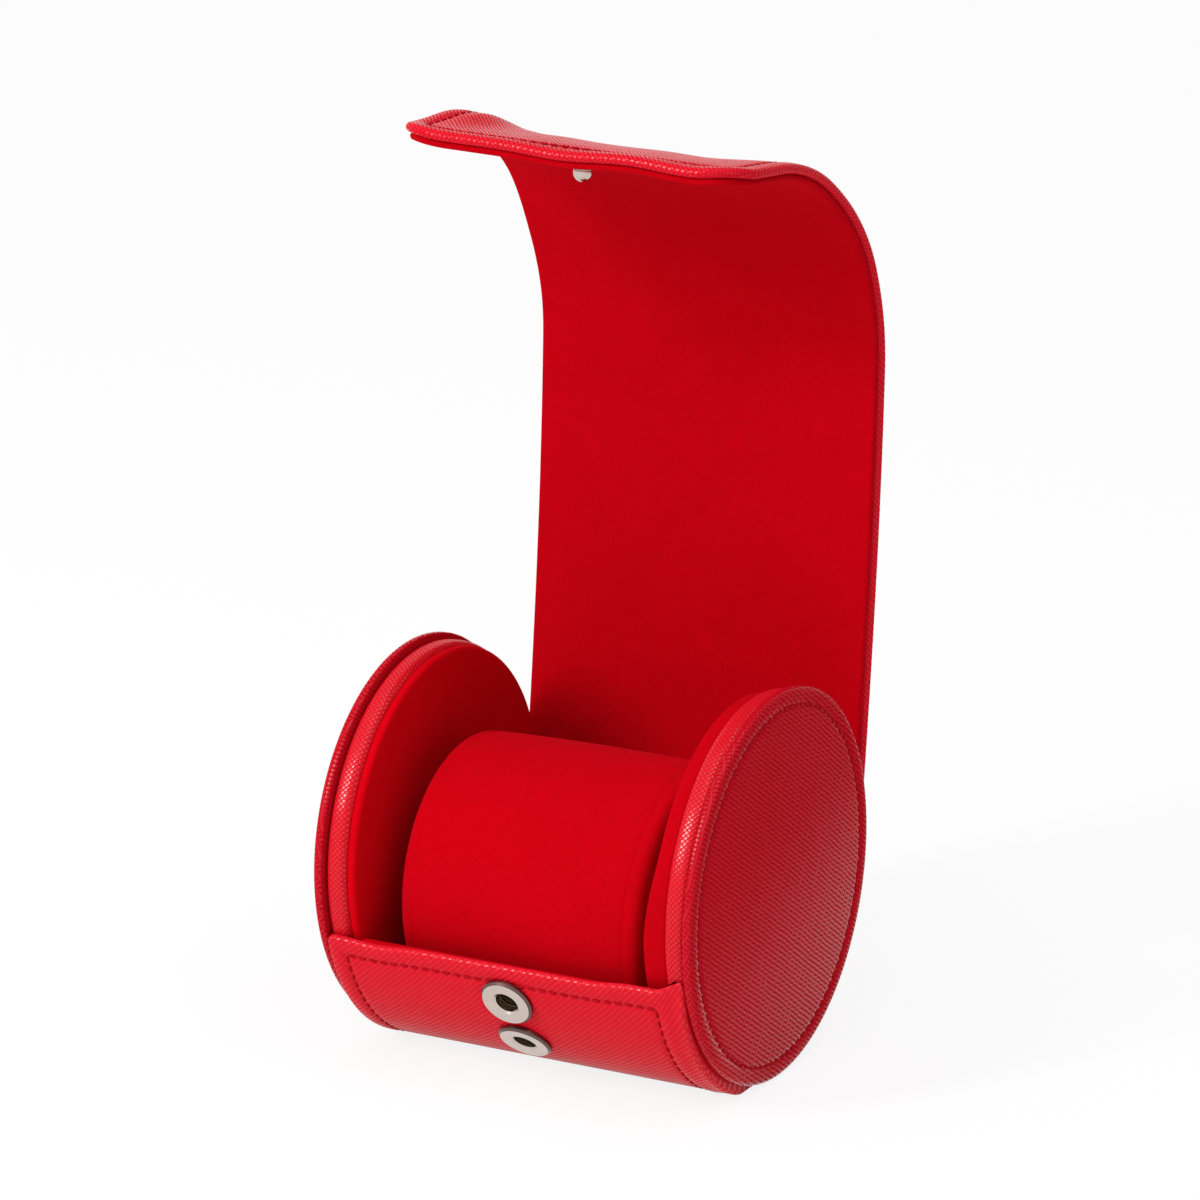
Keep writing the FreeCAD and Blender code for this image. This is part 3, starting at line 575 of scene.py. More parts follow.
def twisted(points):
    """Turns the flap's outer half about its own length, as it lies when it is open."""
    pivot = flap_middle(TWIST_AT)
    lean = float(np.interp(TWIST_AT, FLAP_STEPS, FLAP_LEAN))
    axis = np.array([0.0, -math.sin(lean), math.cos(lean)])
    span = TWIST_END - TWIST_START
    share = smoothstep(((points - TWIST_START) @ span) / (span @ span))
    angle = math.radians(TWIST) * share
    arm = points - pivot
    cos, sin = np.cos(angle)[:, None], np.sin(angle)[:, None]
    turned = arm * cos + np.cross(axis, arm) * sin + axis * (arm @ axis)[:, None] * (1 - cos)
    return np.where(share[:, None] > 0, pivot + turned, points)


def tip_wave(station, across):
    """How far the flap's front edge waves: up past the stud, down beside it and up at both corners."""
    past_stud = 0.3 * hump(across, middle=14.0, width=7.0)
    right_corner = 0.8 * ramp(across, start=27.0, length=12.0)
    left_corner = 0.8 * ramp(-across, start=26.0, length=12.0)
    dips = 0.3 * hump(across, middle=27.0, width=6.0) + 0.55 * hump(across, middle=-1.0, width=8.0)
    lip = 8.5
    return (past_stud + right_corner + left_corner - dips) * ramp(station, TIP - lip, lip)


def crest_sag(station, across):
    """How far the top of the curl sinks, where the leather is softest."""
    sag = 1.6 * hump(across, middle=0.0, width=17.0) + 1.1 * hump(across, middle=21.0, width=8.0)
    return -sag * hump(station, middle=CREST, width=14.0)


def left_lift(station, across):
    """How far the flap's left border stands up behind the front corner."""
    border = 1.55 * ramp(-across, start=24.5, length=7.0) - 0.5 * hump(across, middle=-19.0, width=6.0)
    return border * hump(station, middle=TIP - 24.0, width=11.0)


def on_flap(station, across, height):
    lift = tip_wave(station, across) + crest_sag(station, across) + left_lift(station, across)
    y, z = flap_side(station, height + lift)
    points = np.stack([across, y, z], 1)
    beyond = station > CURL_START
    points[beyond] = twisted(points[beyond])
    return points


def below_root(station):
    """From 0 on the flap to 1 on the back of the roll."""
    return ramp(-station, start=1.0, length=8.0)


def straight_half(station):
    """Half the flap's width without its front corners: it is as wide as the wrap below its root."""
    return FLAP_HALF + (WALL_HALF - FLAP_HALF) * below_root(station)


def corner_half(station, inset):
    """Half the flap's width in its round front corners, at an inset from the outline."""
    into = station - (TIP - TAB_CORNER)
    radius = TAB_CORNER - inset
    return FLAP_HALF - TAB_CORNER + math.sqrt(max(radius ** 2 - into ** 2, 0.0))


def flap_half(station):
    return corner_half(station, 0.0) if station > TIP - TAB_CORNER else straight_half(station)


def lining_half(station):
    return corner_half(station, LINING_INSET) if station > TIP - TAB_CORNER else FLAP_HALF - LINING_INSET


def edge_distance(station, across):
    """Distance from the flap's outline."""
    side = straight_half(station) - np.abs(across)
    front = TIP - station
    out_x = np.abs(across) - (FLAP_HALF - TAB_CORNER)
    out_y = station - (TIP - TAB_CORNER)
    corner = TAB_CORNER - np.hypot(np.clip(out_x, 0, None), np.clip(out_y, 0, None))
    distance = np.minimum(side, front)
    return np.clip(np.where((out_x > 0) & (out_y > 0), corner, distance), 0.0, None)


def lining_distance(station, across):
    return np.clip(edge_distance(station, across) - LINING_INSET, 0.0, None)


def seam_dip(distance, inset, depth):
    """A shallow furrow where thread draws the leather down, with the edge beside it standing proud."""
    proud = 0.16 * hump(distance, middle=inset - 2.0, width=1.3)
    return proud - depth * hump(distance, middle=inset, width=0.65)


def shell_top(station, across):
    distance = edge_distance(station, across)
    return HINGE_DEPTH - round_off(distance, SHELL_ROUND) + seam_dip(distance, STITCH_INSET, SEAM_DEPTH)


def shell_bottom(station, across):
    thickness = SHELL + (BACK_RADIUS - SOLE_INSIDE - SHELL) * below_root(station)
    return HINGE_DEPTH - thickness + round_off(edge_distance(station, across), SHELL_ROUND)


def lining_top(station, across):
    return HINGE_DEPTH - SHELL - round_off(lining_distance(station, across), LINING_ROUND)


def lining_bottom(station, across):
    return HINGE_DEPTH - SHELL - LINING + round_off(lining_distance(station, across), LINING_ROUND)


def tip_stations(end, radius):
    """Stations close to the tip, finer round its edge."""
    edge_band, step = 1.2 * radius, 0.6
    coarse = even_stations(TIP - TAB_CORNER, end - edge_band, step)
    return coarse + list(end - edge_samples(radius)[::-1])[1:]


BODIES = ["case"] + [f"flap_panel_{number}" for number in range(1, len(PANEL_LEANS) + 1)]
BODIES += ["flap_curl_1", "flap_curl_2", "flap_tab"]


def flap_spans():
    """For each joint of the flap: where its stretch starts and ends, and where the joint is."""
    joints = [order * PANEL for order in range(len(PANEL_LEANS))] + [CURL_START, TWIST_AT, CURL_END]
    middles = [(order + 0.5) * PANEL for order in range(len(PANEL_LEANS))]
    middles += [CURL_START + CURL / 2, CURL_START + 1.5 * CURL]
    return list(zip([ROOT_START] + middles, middles + [TIP], joints))


def bend_between(piece, order, joint):
    """Bakes the placement of a stretch of the flap into its points. The ends of its bend over the joint, or
    of its twist between the two curled bodies, are worked out, but the stretch is not tied to a body.
    """
    if BODIES[order + 1] == "flap_curl_2":
        start, end = TWIST_START, TWIST_END
    else:
        start, end = on_flap(np.array([joint - EASE, joint + EASE]), np.zeros(2), np.zeros(2))
    BODIES[order + 1]
    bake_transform(piece)


def build_flap():
    lead_rows, lining_start = 2, 0.4
    for order, (start, end, joint) in enumerate(flap_spans()):
        last = end == TIP
        inner = even_stations(start, TIP - TAB_CORNER if last else end)
        step = inner[1] - inner[0]
        lead = [start - 2 * step, start - step]
        if last:
            shell_rows = lead + inner[:-1] + tip_stations(TIP, SHELL_ROUND)
            lining_rows = lead + inner[:-1] + tip_stations(TIP - LINING_INSET, LINING_ROUND)
            tail = 0
        else:
            shell_rows = lining_rows = lead + inner + [end + step, end + 2 * step]
            tail = lead_rows
        lining_lead = lead_rows
        if order == 0:
            lining_rows = [station for station in lining_rows if station > lining_start]
            lining_lead = 0
        shell = slab(f"flap_shell_{order}", on_flap, shell_rows, flap_half, shell_top, shell_bottom,
                     FLAP_LEATHER, edge_distance, lead_rows, tail)
        lining = slab(f"flap_suede_{order}", on_flap, lining_rows, lining_half, lining_top, lining_bottom,
                      SUEDE, lining_distance, lining_lead, tail)
        for piece, slot in ((shell, "leather"), (lining, "suede")):
            bend_between(piece, order, joint)
        if last:
            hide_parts("tab_leather", "tab_board", "stud_rivet")
            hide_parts("tab_lining")
        else:
            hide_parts(f"flap_leather_{order + 1}", f"flap_board_{order + 1}")
            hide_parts(f"flap_lining_{order + 1}")


def side_arc(radius, height, start, end):
    """Points of an arc in the side view, about a middle at a height."""
    angles = np.linspace(start, end, 160)
    return np.stack([radius * np.cos(angles), height + radius * np.sin(angles)], 1)


def wrap_path():
    """Steps along the wrap, with its points there in the side view: from the top of the front wall, down and
    under, and up the back. Its two bends at the sole are eased."""
    overrun, ease_steps = 6.0, 20
    front_start = math.pi - math.asin((WALL_SAG - WALL_DROP) / FRONT_RADIUS)
    front_end = math.pi - math.asin((WALL_SAG - AXIS_HEIGHT) / FRONT_RADIUS)
    front = side_arc(FRONT_RADIUS, AXIS_HEIGHT - WALL_SAG, front_start, front_end)
    back_start = math.acos(AXIS_HEIGHT / BACK_RADIUS) - math.pi / 2
    back = side_arc(BACK_RADIUS, AXIS_HEIGHT, back_start, (ROOT_START + overrun) / HINGE_RADIUS)
    sole = np.linspace(front[-1], back[0], 60)[1:-1]
    path = np.vstack([front, sole, back])
    lengths = lengths_along(path)
    even = np.arange(0.0, lengths[-1], WRAP_STEP)
    plain = np.stack([np.interp(even, lengths, path[:, k]) for k in range(2)], 1)
    window = np.hanning(2 * ease_steps + 1)
    window /= window.sum()
    padded = np.vstack([plain[:1].repeat(ease_steps, 0), plain, plain[-1:].repeat(ease_steps, 0)])
    eased = np.stack([np.convolve(padded[:, k], window, "valid") for k in range(2)], 1)
    share = ramp(np.minimum(even, even[-1] - even), start=2.4, length=6.0)[:, None]
    return even, plain * (1 - share) + eased * share


WRAP_STEPS, WRAP_PATH = wrap_path()
WRAP_NORMAL = np.stack([-np.gradient(WRAP_PATH[:, 1]), np.gradient(WRAP_PATH[:, 0])], 1)
WRAP_NORMAL /= -np.linalg.norm(WRAP_NORMAL, axis=1)[:, None]
WALL_DIRECTION = (WRAP_PATH[1] - WRAP_PATH[0]) / np.linalg.norm(WRAP_PATH[1] - WRAP_PATH[0])


def nearest_step(y, z):
    """The step along the wrap that is nearest to a point in the side view."""
    return np.argmin(np.hypot(WRAP_PATH[:, 0] - y, WRAP_PATH[:, 1] - z))


# The back end of the skin meets the flap's first stretch.
BACK_ANGLE = ROOT_START / HINGE_RADIUS
WRAP_END = WRAP_STEPS[nearest_step(BACK_RADIUS * math.cos(BACK_ANGLE),
                                   AXIS_HEIGHT + BACK_RADIUS * math.sin(BACK_ANGLE))]


def wall_rise(across):
    """How far the wall's top edge is drawn up to the right rim, and how far it sags beside the left one."""
    right = 0.9 * ramp(across, start=18.0, length=10.0) + 2.5 * ramp(across, start=32.5, length=6.0)
    return right - 0.7 * hump(across, middle=-28.0, width=6.0)


def on_wrap(station, across, height):
    station = station - wall_rise(across) * (1.0 - ramp(station, start=0.0, length=9.0))
    above = np.minimum(station, 0.0)
    y, z = (np.interp(station, WRAP_STEPS, WRAP_PATH[:, k]) + above * WALL_DIRECTION[k]
            + np.interp(station, WRAP_STEPS, WRAP_NORMAL[:, k]) * height for k in range(2))
    return np.stack([across, y, z], 1)


def wall_thickness(station):
    """The skin and its padding, which lie on the rims."""
    y = np.interp(station, WRAP_STEPS, WRAP_PATH[:, 0])
    z = np.interp(station, WRAP_STEPS, WRAP_PATH[:, 1]) - AXIS_HEIGHT
    return np.clip(np.hypot(y, z) - SOLE_INSIDE, SKIN, None)


# A snap socket on the front wall: its station, its middle and the direction out of the wall in the side view,
# and the depth of the well that it needs in the leather.
SocketSpot = namedtuple("SocketSpot", "station middle out well")


def socket_spots():
    deepest, floor_left = 2.3, 0.12
    spots = {}
    for name in ("upper", "lower"):
        low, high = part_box(f"snap_socket_{name}")
        middle = (np.array(low) + np.array(high)) / 2 / MM
        nearest = nearest_step(middle[1], middle[2])
        well = min(wall_thickness(WRAP_STEPS[nearest]) - floor_left, deepest)
        spots[name] = SocketSpot(WRAP_STEPS[nearest], WRAP_PATH[nearest], WRAP_NORMAL[nearest], well)
    return spots


SOCKETS = socket_spots()
WELL_RADIUS = 4.4


def wrap_distance(station, across):
    return np.clip(np.minimum(WALL_HALF - np.abs(across), station), 0.0, None)


def wall_half(station):
    """Half the wrap's width, rounded at the wall's top corners."""
    return WALL_HALF - round_off(station, WALL_CORNER)


def wall_seam_distance(station, across):
    """Distance from the lines that the wall's seam keeps to. In front it is further in at the right end."""
    margin = RIGHT_MARGIN * (1.0 - ramp(station, start=42.0, length=12.0))
    sides = np.minimum(WALL_HALF - margin - across, WALL_HALF + across)
    return np.clip(np.minimum(sides, station), 0.0, None)


def wrap_top(station, across):
    tuck = 0.8 * ramp(across, start=33.0, length=5.0) * (1.0 - ramp(station, start=0.0, length=7.0))
    wells = sum(spot.well * smoothstep(WELL_RADIUS - np.hypot(station - spot.station, across))
                for spot in SOCKETS.values())
    above_floor = ramp(np.interp(station, WRAP_STEPS, WRAP_PATH[:, 1]), start=0.2, length=1.0)
    furrow = seam_dip(wall_seam_distance(station, across), WALL_STITCH_INSET, SEAM_DEPTH) * above_floor
    return furrow - round_off(wrap_distance(station, across), WALL_ROUND) - wells - tuck


def wrap_bottom(station, across):
    turned_over = round_off(np.clip(station, 0.0, None), WALL_TOP_ROUND)
    sides = round_off(WALL_HALF - np.abs(across), WALL_SIDE_ROUND)
    return -wall_thickness(station) + np.maximum(turned_over, sides)


def match_flap(skin):
    """Gives the back of the wrap the flap's leather, with its ribs running on into the flap's."""
    mesh = skin.data
    mesh.materials.append(FLAP_LEATHER)
    behind = np.array([vertex.co.y > 0.0 for vertex in mesh.vertices])
    layer = mesh.attributes["grain"].data
    grain = np.zeros((len(behind), 3), np.float32)
    layer.foreach_get("vector", grain.ravel())
    grain[behind, 1] += (ROOT_START - WRAP_END) * MM
    layer.foreach_set("vector", grain.ravel())
    for face in mesh.polygons:
        face.material_index = int(face.center.y > 0.0)


def build_wrap():
    """The wrap's outer skin, with finer stations and points round the snap sockets."""
    around, fine, socket_share, below_edge = 6.0, 0.35, 0.2, 1.2
    first, last = SOCKETS["upper"].station - around, SOCKETS["lower"].station + around
    rows = list(edge_samples(WALL_ROUND)) + even_stations(below_edge, first)[:-1]
    rows += even_stations(first, last, fine)[:-1] + even_stations(last, WRAP_END)
    rows += [WRAP_END + STATION_STEP, WRAP_END + 2 * STATION_STEP]
    wide = np.linspace(-1.0, -socket_share, 13)
    middle = np.concatenate([wide, np.linspace(-socket_share, socket_share, 37)[1:-1], -wide[::-1]])
    skin = slab("wrap_outer", on_wrap, rows, wall_half, wrap_top, wrap_bottom, LEATHER, wrap_distance,
                after=2, middle=middle)
    match_flap(skin)
    dress(skin, "case", "leather", "wrap_skin", "front_padding", "back_padding")


def build_wrap_lining():
    """The suede inside the wrap, between the end discs."""
    start_gap, end_gap, side_gap = 0.95, 0.4, 0.1
    start = math.pi + math.asin((WALL_DROP + start_gap) / RIM_RADIUS)
    end = FULL_TURN - end_gap / RIM_RADIUS
    length = (end - start) * RIM_RADIUS
    half = THIN_INNER_FACE - side_gap
    outer_edge, inner_edge, tucked_in, proud = 0.15, 2.2, 0.6, 0.6

    def place(station, across, height):
        angle = start + station / RIM_RADIUS
        radius = RIM_RADIUS + height
        return np.stack([across, radius * np.cos(angle), AXIS_HEIGHT + radius * np.sin(angle)], 1)

    def distance(station, across):
        ends = np.minimum(station, length - station)
        return np.clip(np.minimum(half - np.abs(across) + tucked_in, ends), 0.0, None)

    def top(station, across):
        under_leather = 0.5 * ramp(station, start=1.5, length=3.0)
        return proud - under_leather - round_off(distance(station, across), outer_edge)

    def bottom(station, across):
        return LINING_INNER - RIM_RADIUS + round_off(distance(station, across), inner_edge)

    ends = np.concatenate([edge_samples(outer_edge, 4), np.linspace(0.3, inner_edge, 7)])
    inside = inner_edge + STATION_STEP
    rows = list(ends) + even_stations(inside, length - inside, 1.0) + list(length - ends[::-1])
    lining = slab("wrap_inner", place, rows, lambda station: half, top, bottom, SUEDE, distance)
    dress(lining, "case", "suede", "wrap_lining", "wrap_board")


def settle_normals(piece):
    """Makes all faces of a closed mesh point outwards."""
    work = bmesh.new()
    work.from_mesh(piece.data)
    bmesh.ops.recalc_face_normals(work, faces=work.faces)
    work.to_mesh(piece.data)
    work.free()
    piece.data.update()


def lathe(name, profile, centre, material, segments=ROUND_SEGMENTS, turn=False):
    """A round piece about an axis along X, from a closed outline of (along, radius) that starts and ends on
    the axis or returns to its start. turn sets it on the other end of the roll."""
    on_axis = 1e-6
    outline = np.array(profile, float)
    if turn:
        outline[:, 0] = -outline[:, 0]
    closed = np.allclose(outline[0], outline[-1]) and outline[0, 1] > on_axis
    angles = np.linspace(0.0, FULL_TURN, segments, endpoint=False)
    points, rings, grain = [], [], []
    for along, radius in outline[:-1] if closed else outline:
        if radius < on_axis:
            rings.append([len(points)] * segments)
            points.append((along, centre[0], centre[1]))
            grain.append((0.0, 0.0))
            continue
        rings.append(list(range(len(points), len(points) + segments)))
        for angle in angles:
            y, z = radius * math.cos(angle), radius * math.sin(angle)
            points.append((along, centre[0] + y, centre[1] + z))
            grain.append((y, z))
    if closed:
        rings.append(rings[0])
    faces = []
    for first, second in zip(rings[:-1], rings[1:]):
        for k in range(segments):
            k2 = (k + 1) % segments
            quad = [first[k], first[k2], second[k2], second[k]]
            faces.append([v for i, v in enumerate(quad) if v != quad[i - 1]])
    piece = make_object(name, points, faces, material, grain)
    settle_normals(piece)
    return piece


def arc_points(centre, radius, start, end, steps):
    angles = np.radians(np.linspace(start, end, steps))
    return [(centre[0] + radius * math.cos(a), centre[1] + radius * math.sin(a)) for a in angles]


ROLL_AXIS = (0.0, AXIS_HEIGHT)


def build_face(side):
    """The leather face of an end disc: a little bulged, drawn in at its seam and rounded over at its rim."""
    edge, back_round, gap = FACE_EDGE_ROUND, 0.5, 0.05
    coarse_to, fine_from = 33.0, 33.5
    radii = np.concatenate([np.linspace(0.0, coarse_to, 12), np.linspace(fine_from, FACE_RADIUS - edge, 36)])
    front = FACE_AT_SEAM + FACE_BULGE * (1.0 - (radii / FACE_STITCH_RADIUS) ** 2).clip(0.0)
    front += seam_dip(FACE_RADIUS - radii, FACE_RADIUS - FACE_STITCH_RADIUS, FACE_SEAM_DEPTH)
    profile = list(zip(front, radii))
    profile += arc_points((front[-1] - edge, FACE_RADIUS - edge), edge, 0.0, 90.0, 9)[1:]
    back = FACE_BACK + gap
    profile += arc_points((back + back_round, FACE_RADIUS - back_round), back_round, 90.0, 180.0, 6)
    profile += [(back, 0.0)]
    # The end faces' darker leather is painted shade.
    face = lathe(f"face_{side}", profile, ROLL_AXIS, SHADED_END_LEATHER, FACE_SEGMENTS, side == "left")
    turn_grain(face)
    dress(face, "case", "leather", f"face_leather_{side}", f"face_board_{side}")


def turn_grain(face):
    """Turns the ribs on a face of the roll, leads them on over its rim and polishes that."""
    slant, rim_start, polished = math.radians(-9.0), HALF_LENGTH - 0.4, 0.7
    points = mesh_points(face)
    y, z = points[:, 1], points[:, 2] - AXIS_HEIGHT
    radius = np.hypot(y, z)
    over_rim = np.clip(rim_start - np.abs(points[:, 0]), 0.0, None) / np.clip(radius, 1.0, None)
    y, z = y * (1.0 + over_rim), z * (1.0 + over_rim)
    cos, sin = math.cos(slant), math.sin(slant)
    lay_grain(face, y * cos - z * sin, y * sin + z * cos, hump(FACE_RADIUS - radius, 0.0, polished))


def build_rim(side):
    """The leather band round an end disc, crowned between its two edges."""
    gap, inside, turned_in = 0.02, 35.0, 0.8
    across = np.linspace(0.0, 1.0, 25)
    crown = RIM_RADIUS - RIM_CROWN * np.abs(2 * across - 1) ** 4
    front, back = FACE_BACK - gap, RIM_BACK + gap
    profile = [(front, inside), (front, crown[0] - turned_in)]
    profile += list(zip(front - (FACE_BACK - RIM_BACK) * across, crown))
    profile += [(back, crown[-1] - turned_in), (back, inside), (front, inside)]
    band = lathe(f"rim_{side}", profile, ROLL_AXIS, BAND_LEATHER, FACE_SEGMENTS, side == "left")
    grain_round(band)
    dress(band, "case", "leather", f"rim_band_{side}", f"rim_core_{side}")


def grain_round(band):
    """Lays a round band's ribs along its circumference."""
    points = mesh_points(band)
    angle = np.arctan2(points[:, 2] - AXIS_HEIGHT, points[:, 1])
    join = 0.6 * math.pi
    around = ((angle + join) % FULL_TURN) * RIM_RADIUS
    lay_grain(band, around, points[:, 0], np.zeros(len(points)))


def build_inner_disc(side):
    """The suede disc beside the cushion: thin on the left, fuller on the right. The left one is in a lighter
    suede, whose extra lightness is painted light.
    """
    left = side == "left"
    radius, edge, face = INNER_RADIUS, 1.2, FULL_INNER_FACE
    if left:
        radius, edge, face = THIN_INNER_RADIUS, 0.9, THIN_INNER_FACE
    back_round, gap, hollow = 0.6, 0.05, 0.15
    radii = np.linspace(0.0, radius - edge, 24)
    inner = face + gap + hollow * (radii / radius) ** 4
    profile = list(zip(inner, radii))
    profile += arc_points((inner[-1] + edge, radius - edge), edge, 180.0, 90.0, 10)[1:]
    back = RIM_BACK - gap
    profile += arc_points((back - back_round, radius - back_round), back_round, 90.0, 0.0, 6)
    profile += [(back, 0.0)]
    # The left disc's lighter suede is painted light.
    suede = lathe(f"inner_disc_{side}", profile, ROLL_AXIS, LIT_SUEDE if left else SUEDE, turn=left)
    if not left:
        flatten_top(suede)
    dress(suede, "case", "suede", f"inner_suede_{side}", f"inner_board_{side}")


def flatten_top(disc):
    """Thins the right inner disc towards its top: it is full only beside the front wall."""
    for vertex in disc.data.vertices:
        x, z = vertex.co.x / MM, vertex.co.z / MM
        share = (RIM_BACK - x) / (RIM_BACK - FULL_INNER_FACE)
        upper = float(ramp(z, start=36.0, length=20.0))
        vertex.co.x += (FLAT_INNER_FACE - FULL_INNER_FACE) * share * upper * MM


def build_cushion():
    """The cushion: a soft sleeve rounded over at both ends, with a line round each end."""
    half, edge, inside = CUSHION_HALF, CUSHION_ROUND, 20.0
    along = np.sin(np.linspace(-math.pi / 2, math.pi / 2, 101)) * (half - edge)
    crown = CUSHION_EDGE + (CUSHION_RADIUS - CUSHION_EDGE) * (1 - (along / half) ** 2)
    crown -= 0.14 * hump(half - np.abs(along), middle=3.2, width=0.4)
    left_round = arc_points((along[0], crown[0] - edge), edge, 180.0, 90.0, 9)
    right_round = arc_points((along[-1], crown[-1] - edge), edge, 90.0, 0.0, 9)
    profile = [(-half, inside)] + left_round[:-1] + list(zip(along, crown)) + right_round[1:]
    profile += [(half, inside), (-half, inside)]
    sleeve = lathe("cushion_body", profile, CUSHION_CENTRE, SUEDE)
    dress(sleeve, "cushion", "suede", "cushion_sleeve", "cushion_foam")
    for side in ("left", "right"):
        build_cushion_end(side)


def build_cushion_end(side):
    """The round piece set into an end of the cushion, a little proud of the sleeve."""
    inset, proud, edge = 2.8, 0.15, 0.4
    radius, front, back = CUSHION_EDGE - inset, CUSHION_HALF + proud, CUSHION_HALF - CAP_DEPTH
    profile = [(front, r) for r in np.linspace(0.0, radius - edge, 16)]
    profile += arc_points((front - edge, radius - edge), edge, 0.0, 90.0, 6)[1:]
    profile += [(back, radius), (back, 0.0)]
    end = lathe(f"cushion_end_{side}", profile, CUSHION_CENTRE, SUEDE, turn=side == "left")
    dress(end, "cushion", "suede", f"cushion_cap_{side}")


def stitch_tree():
    """A node tree that sets one stitch on every point, turned along the seam and out of the leather. The
    stitch's sizes are in millimetres and its slant is in radians."""
    tree = bpy.data.node_groups.new("row of stitches", "GeometryNodeTree")
    face = tree.interface
    face.new_socket("Geometry", in_out="INPUT", socket_type="NodeSocketGeometry")
    sockets = {}
    sizes = {"Stitch Length": 1.7, "Stitch Width": 0.64, "Stitch Height": 0.5, "Slant": 0.10, "Seed": 7}
    for name, value in sizes.items():
        kind = "NodeSocketInt" if isinstance(value, int) else "NodeSocketFloat"
        socket = face.new_socket(name, in_out="INPUT", socket_type=kind)
        socket.default_value = value
        sockets[name] = socket.identifier
    face.new_socket("Geometry", in_out="OUTPUT", socket_type="NodeSocketGeometry")

    def node(kind, settings=None, inputs=None):
        made = tree.nodes.new(kind)
        for name, setting in (settings or {}).items():
            setattr(made, name, setting)
        for name, value in (inputs or {}).items():
            if isinstance(value, bpy.types.NodeSocket):
                tree.links.new(value, made.inputs[name])
            else:
                made.inputs[name].default_value = value
        return made

    given = node("NodeGroupInput").outputs
    thread = node("GeometryNodeMeshUVSphere", None, {"Segments": 8, "Rings": 6, "Radius": 0.5 * MM})
    size = node("ShaderNodeCombineXYZ", None,
                {"X": given["Stitch Length"], "Y": given["Stitch Width"], "Z": given["Stitch Height"]})
    along = node("GeometryNodeInputNamedAttribute", {"data_type": "FLOAT_VECTOR"}, {"Name": "along"})
    out = node("GeometryNodeInputNamedAttribute", {"data_type": "FLOAT_VECTOR"}, {"Name": "out"})
    upright = node("FunctionNodeAxesToRotation", {"primary_axis": "Z", "secondary_axis": "X"},
                   {"Primary Axis": out.outputs[0], "Secondary Axis": along.outputs[0]})
    low = node("ShaderNodeMath", {"operation": "MULTIPLY"}, {0: given["Slant"], 1: -1.0})
    slant = node("FunctionNodeRandomValue", {"data_type": "FLOAT"},
                 {2: low.outputs[0], 3: given["Slant"], "Seed": given["Seed"]})
    tilt = node("FunctionNodeAxisAngleToRotation", None, {"Axis": (0.0, 0.0, 1.0), "Angle": slant.outputs[1]})
    turn = node("FunctionNodeRotateRotation", {"rotation_space": "LOCAL"},
                {"Rotation": upright.outputs[0], "Rotate By": tilt.outputs[0]})
    dots = node("GeometryNodeMeshToPoints", None, {"Mesh": given["Geometry"]})
    rows = node("GeometryNodeInstanceOnPoints", None,
                {"Points": dots.outputs[0], "Instance": thread.outputs["Mesh"], "Rotation": turn.outputs[0],
                 "Scale": size.outputs[0]})
    real = node("GeometryNodeRealizeInstances", None, {"Geometry": rows.outputs[0]})
    dressed = node("GeometryNodeSetMaterial", None, {"Geometry": real.outputs[0], "Material": THREAD})
    smooth = node("GeometryNodeSetShadeSmooth", None, {0: dressed.outputs[0]})
    result = node("NodeGroupOutput")
    tree.links.new(smooth.outputs[0], result.inputs[0])
    return tree, sockets


STITCHES, STITCH_SOCKETS = stitch_tree()


def sew(name, points, along, out):
    """A row of stitches at points, given where the seam runs and where out of the leather is."""
    mesh = bpy.data.meshes.new(name)
    mesh.from_pydata((points * MM).tolist(), [], [])
    for key, vectors in (("along", along), ("out", out)):
        layer = mesh.attributes.new(key, "FLOAT_VECTOR", "POINT")
        layer.data.foreach_set("vector", vectors.astype(np.float32).ravel())
    base = add_object(name + " points", mesh)
    modifier = base.modifiers.new("stitches", "NODES")
    modifier.node_group = STITCHES
    modifier[STITCH_SOCKETS["Stitch Length"]] = STITCH_PITCH * STITCH_SHARE
    evaluated = base.evaluated_get(bpy.context.evaluated_depsgraph_get())
    sewn = bpy.data.meshes.new_from_object(evaluated)
    sewn.name = name
    bpy.data.objects.remove(base)
    return add_object(name, sewn)


def seam(path, out):
    """Even points on a polyline, with its direction there and the direction out of the leather."""
    lengths = lengths_along(path)
    count = int(lengths[-1] / STITCH_PITCH)
    spots = (np.arange(count) + 0.5) * lengths[-1] / count
    step = 0.2

    def at(places, vectors):
        return np.stack([np.interp(places, lengths, vectors[:, k]) for k in range(3)], 1)

    direction = at(spots + step, path) - at(spots - step, path)
    return at(spots, path), direction / np.linalg.norm(direction, axis=1)[:, None], at(spots, out)


def seam_on(place, station, across, height):
    """A seam on a sheet, whose stitches are sunk a little into the leather."""
    low = height - STITCH_SINK
    path = place(station, across, np.full(len(station), low))
    raised = place(station, across, np.full(len(station), low + 1.0))
    return seam(path, raised - path)


def sew_faces():
    for side, sign in (("left", -1), ("right", 1)):
        angles = np.linspace(0, FULL_TURN, 721)
        path = np.stack([np.full(len(angles), sign * FACE_STITCH_AT), FACE_STITCH_RADIUS * np.cos(angles),
                         AXIS_HEIGHT + FACE_STITCH_RADIUS * np.sin(angles)], 1)
        out = np.tile([sign, 0, 0], (len(angles), 1))
        piece = sew(f"face_stitches_{side}", *seam(path, out))
        dress(piece, "case", "leather")
        # The darker thread on the end faces is painted shade.
        piece.data.materials[0] = SHADED_FACE_THREAD


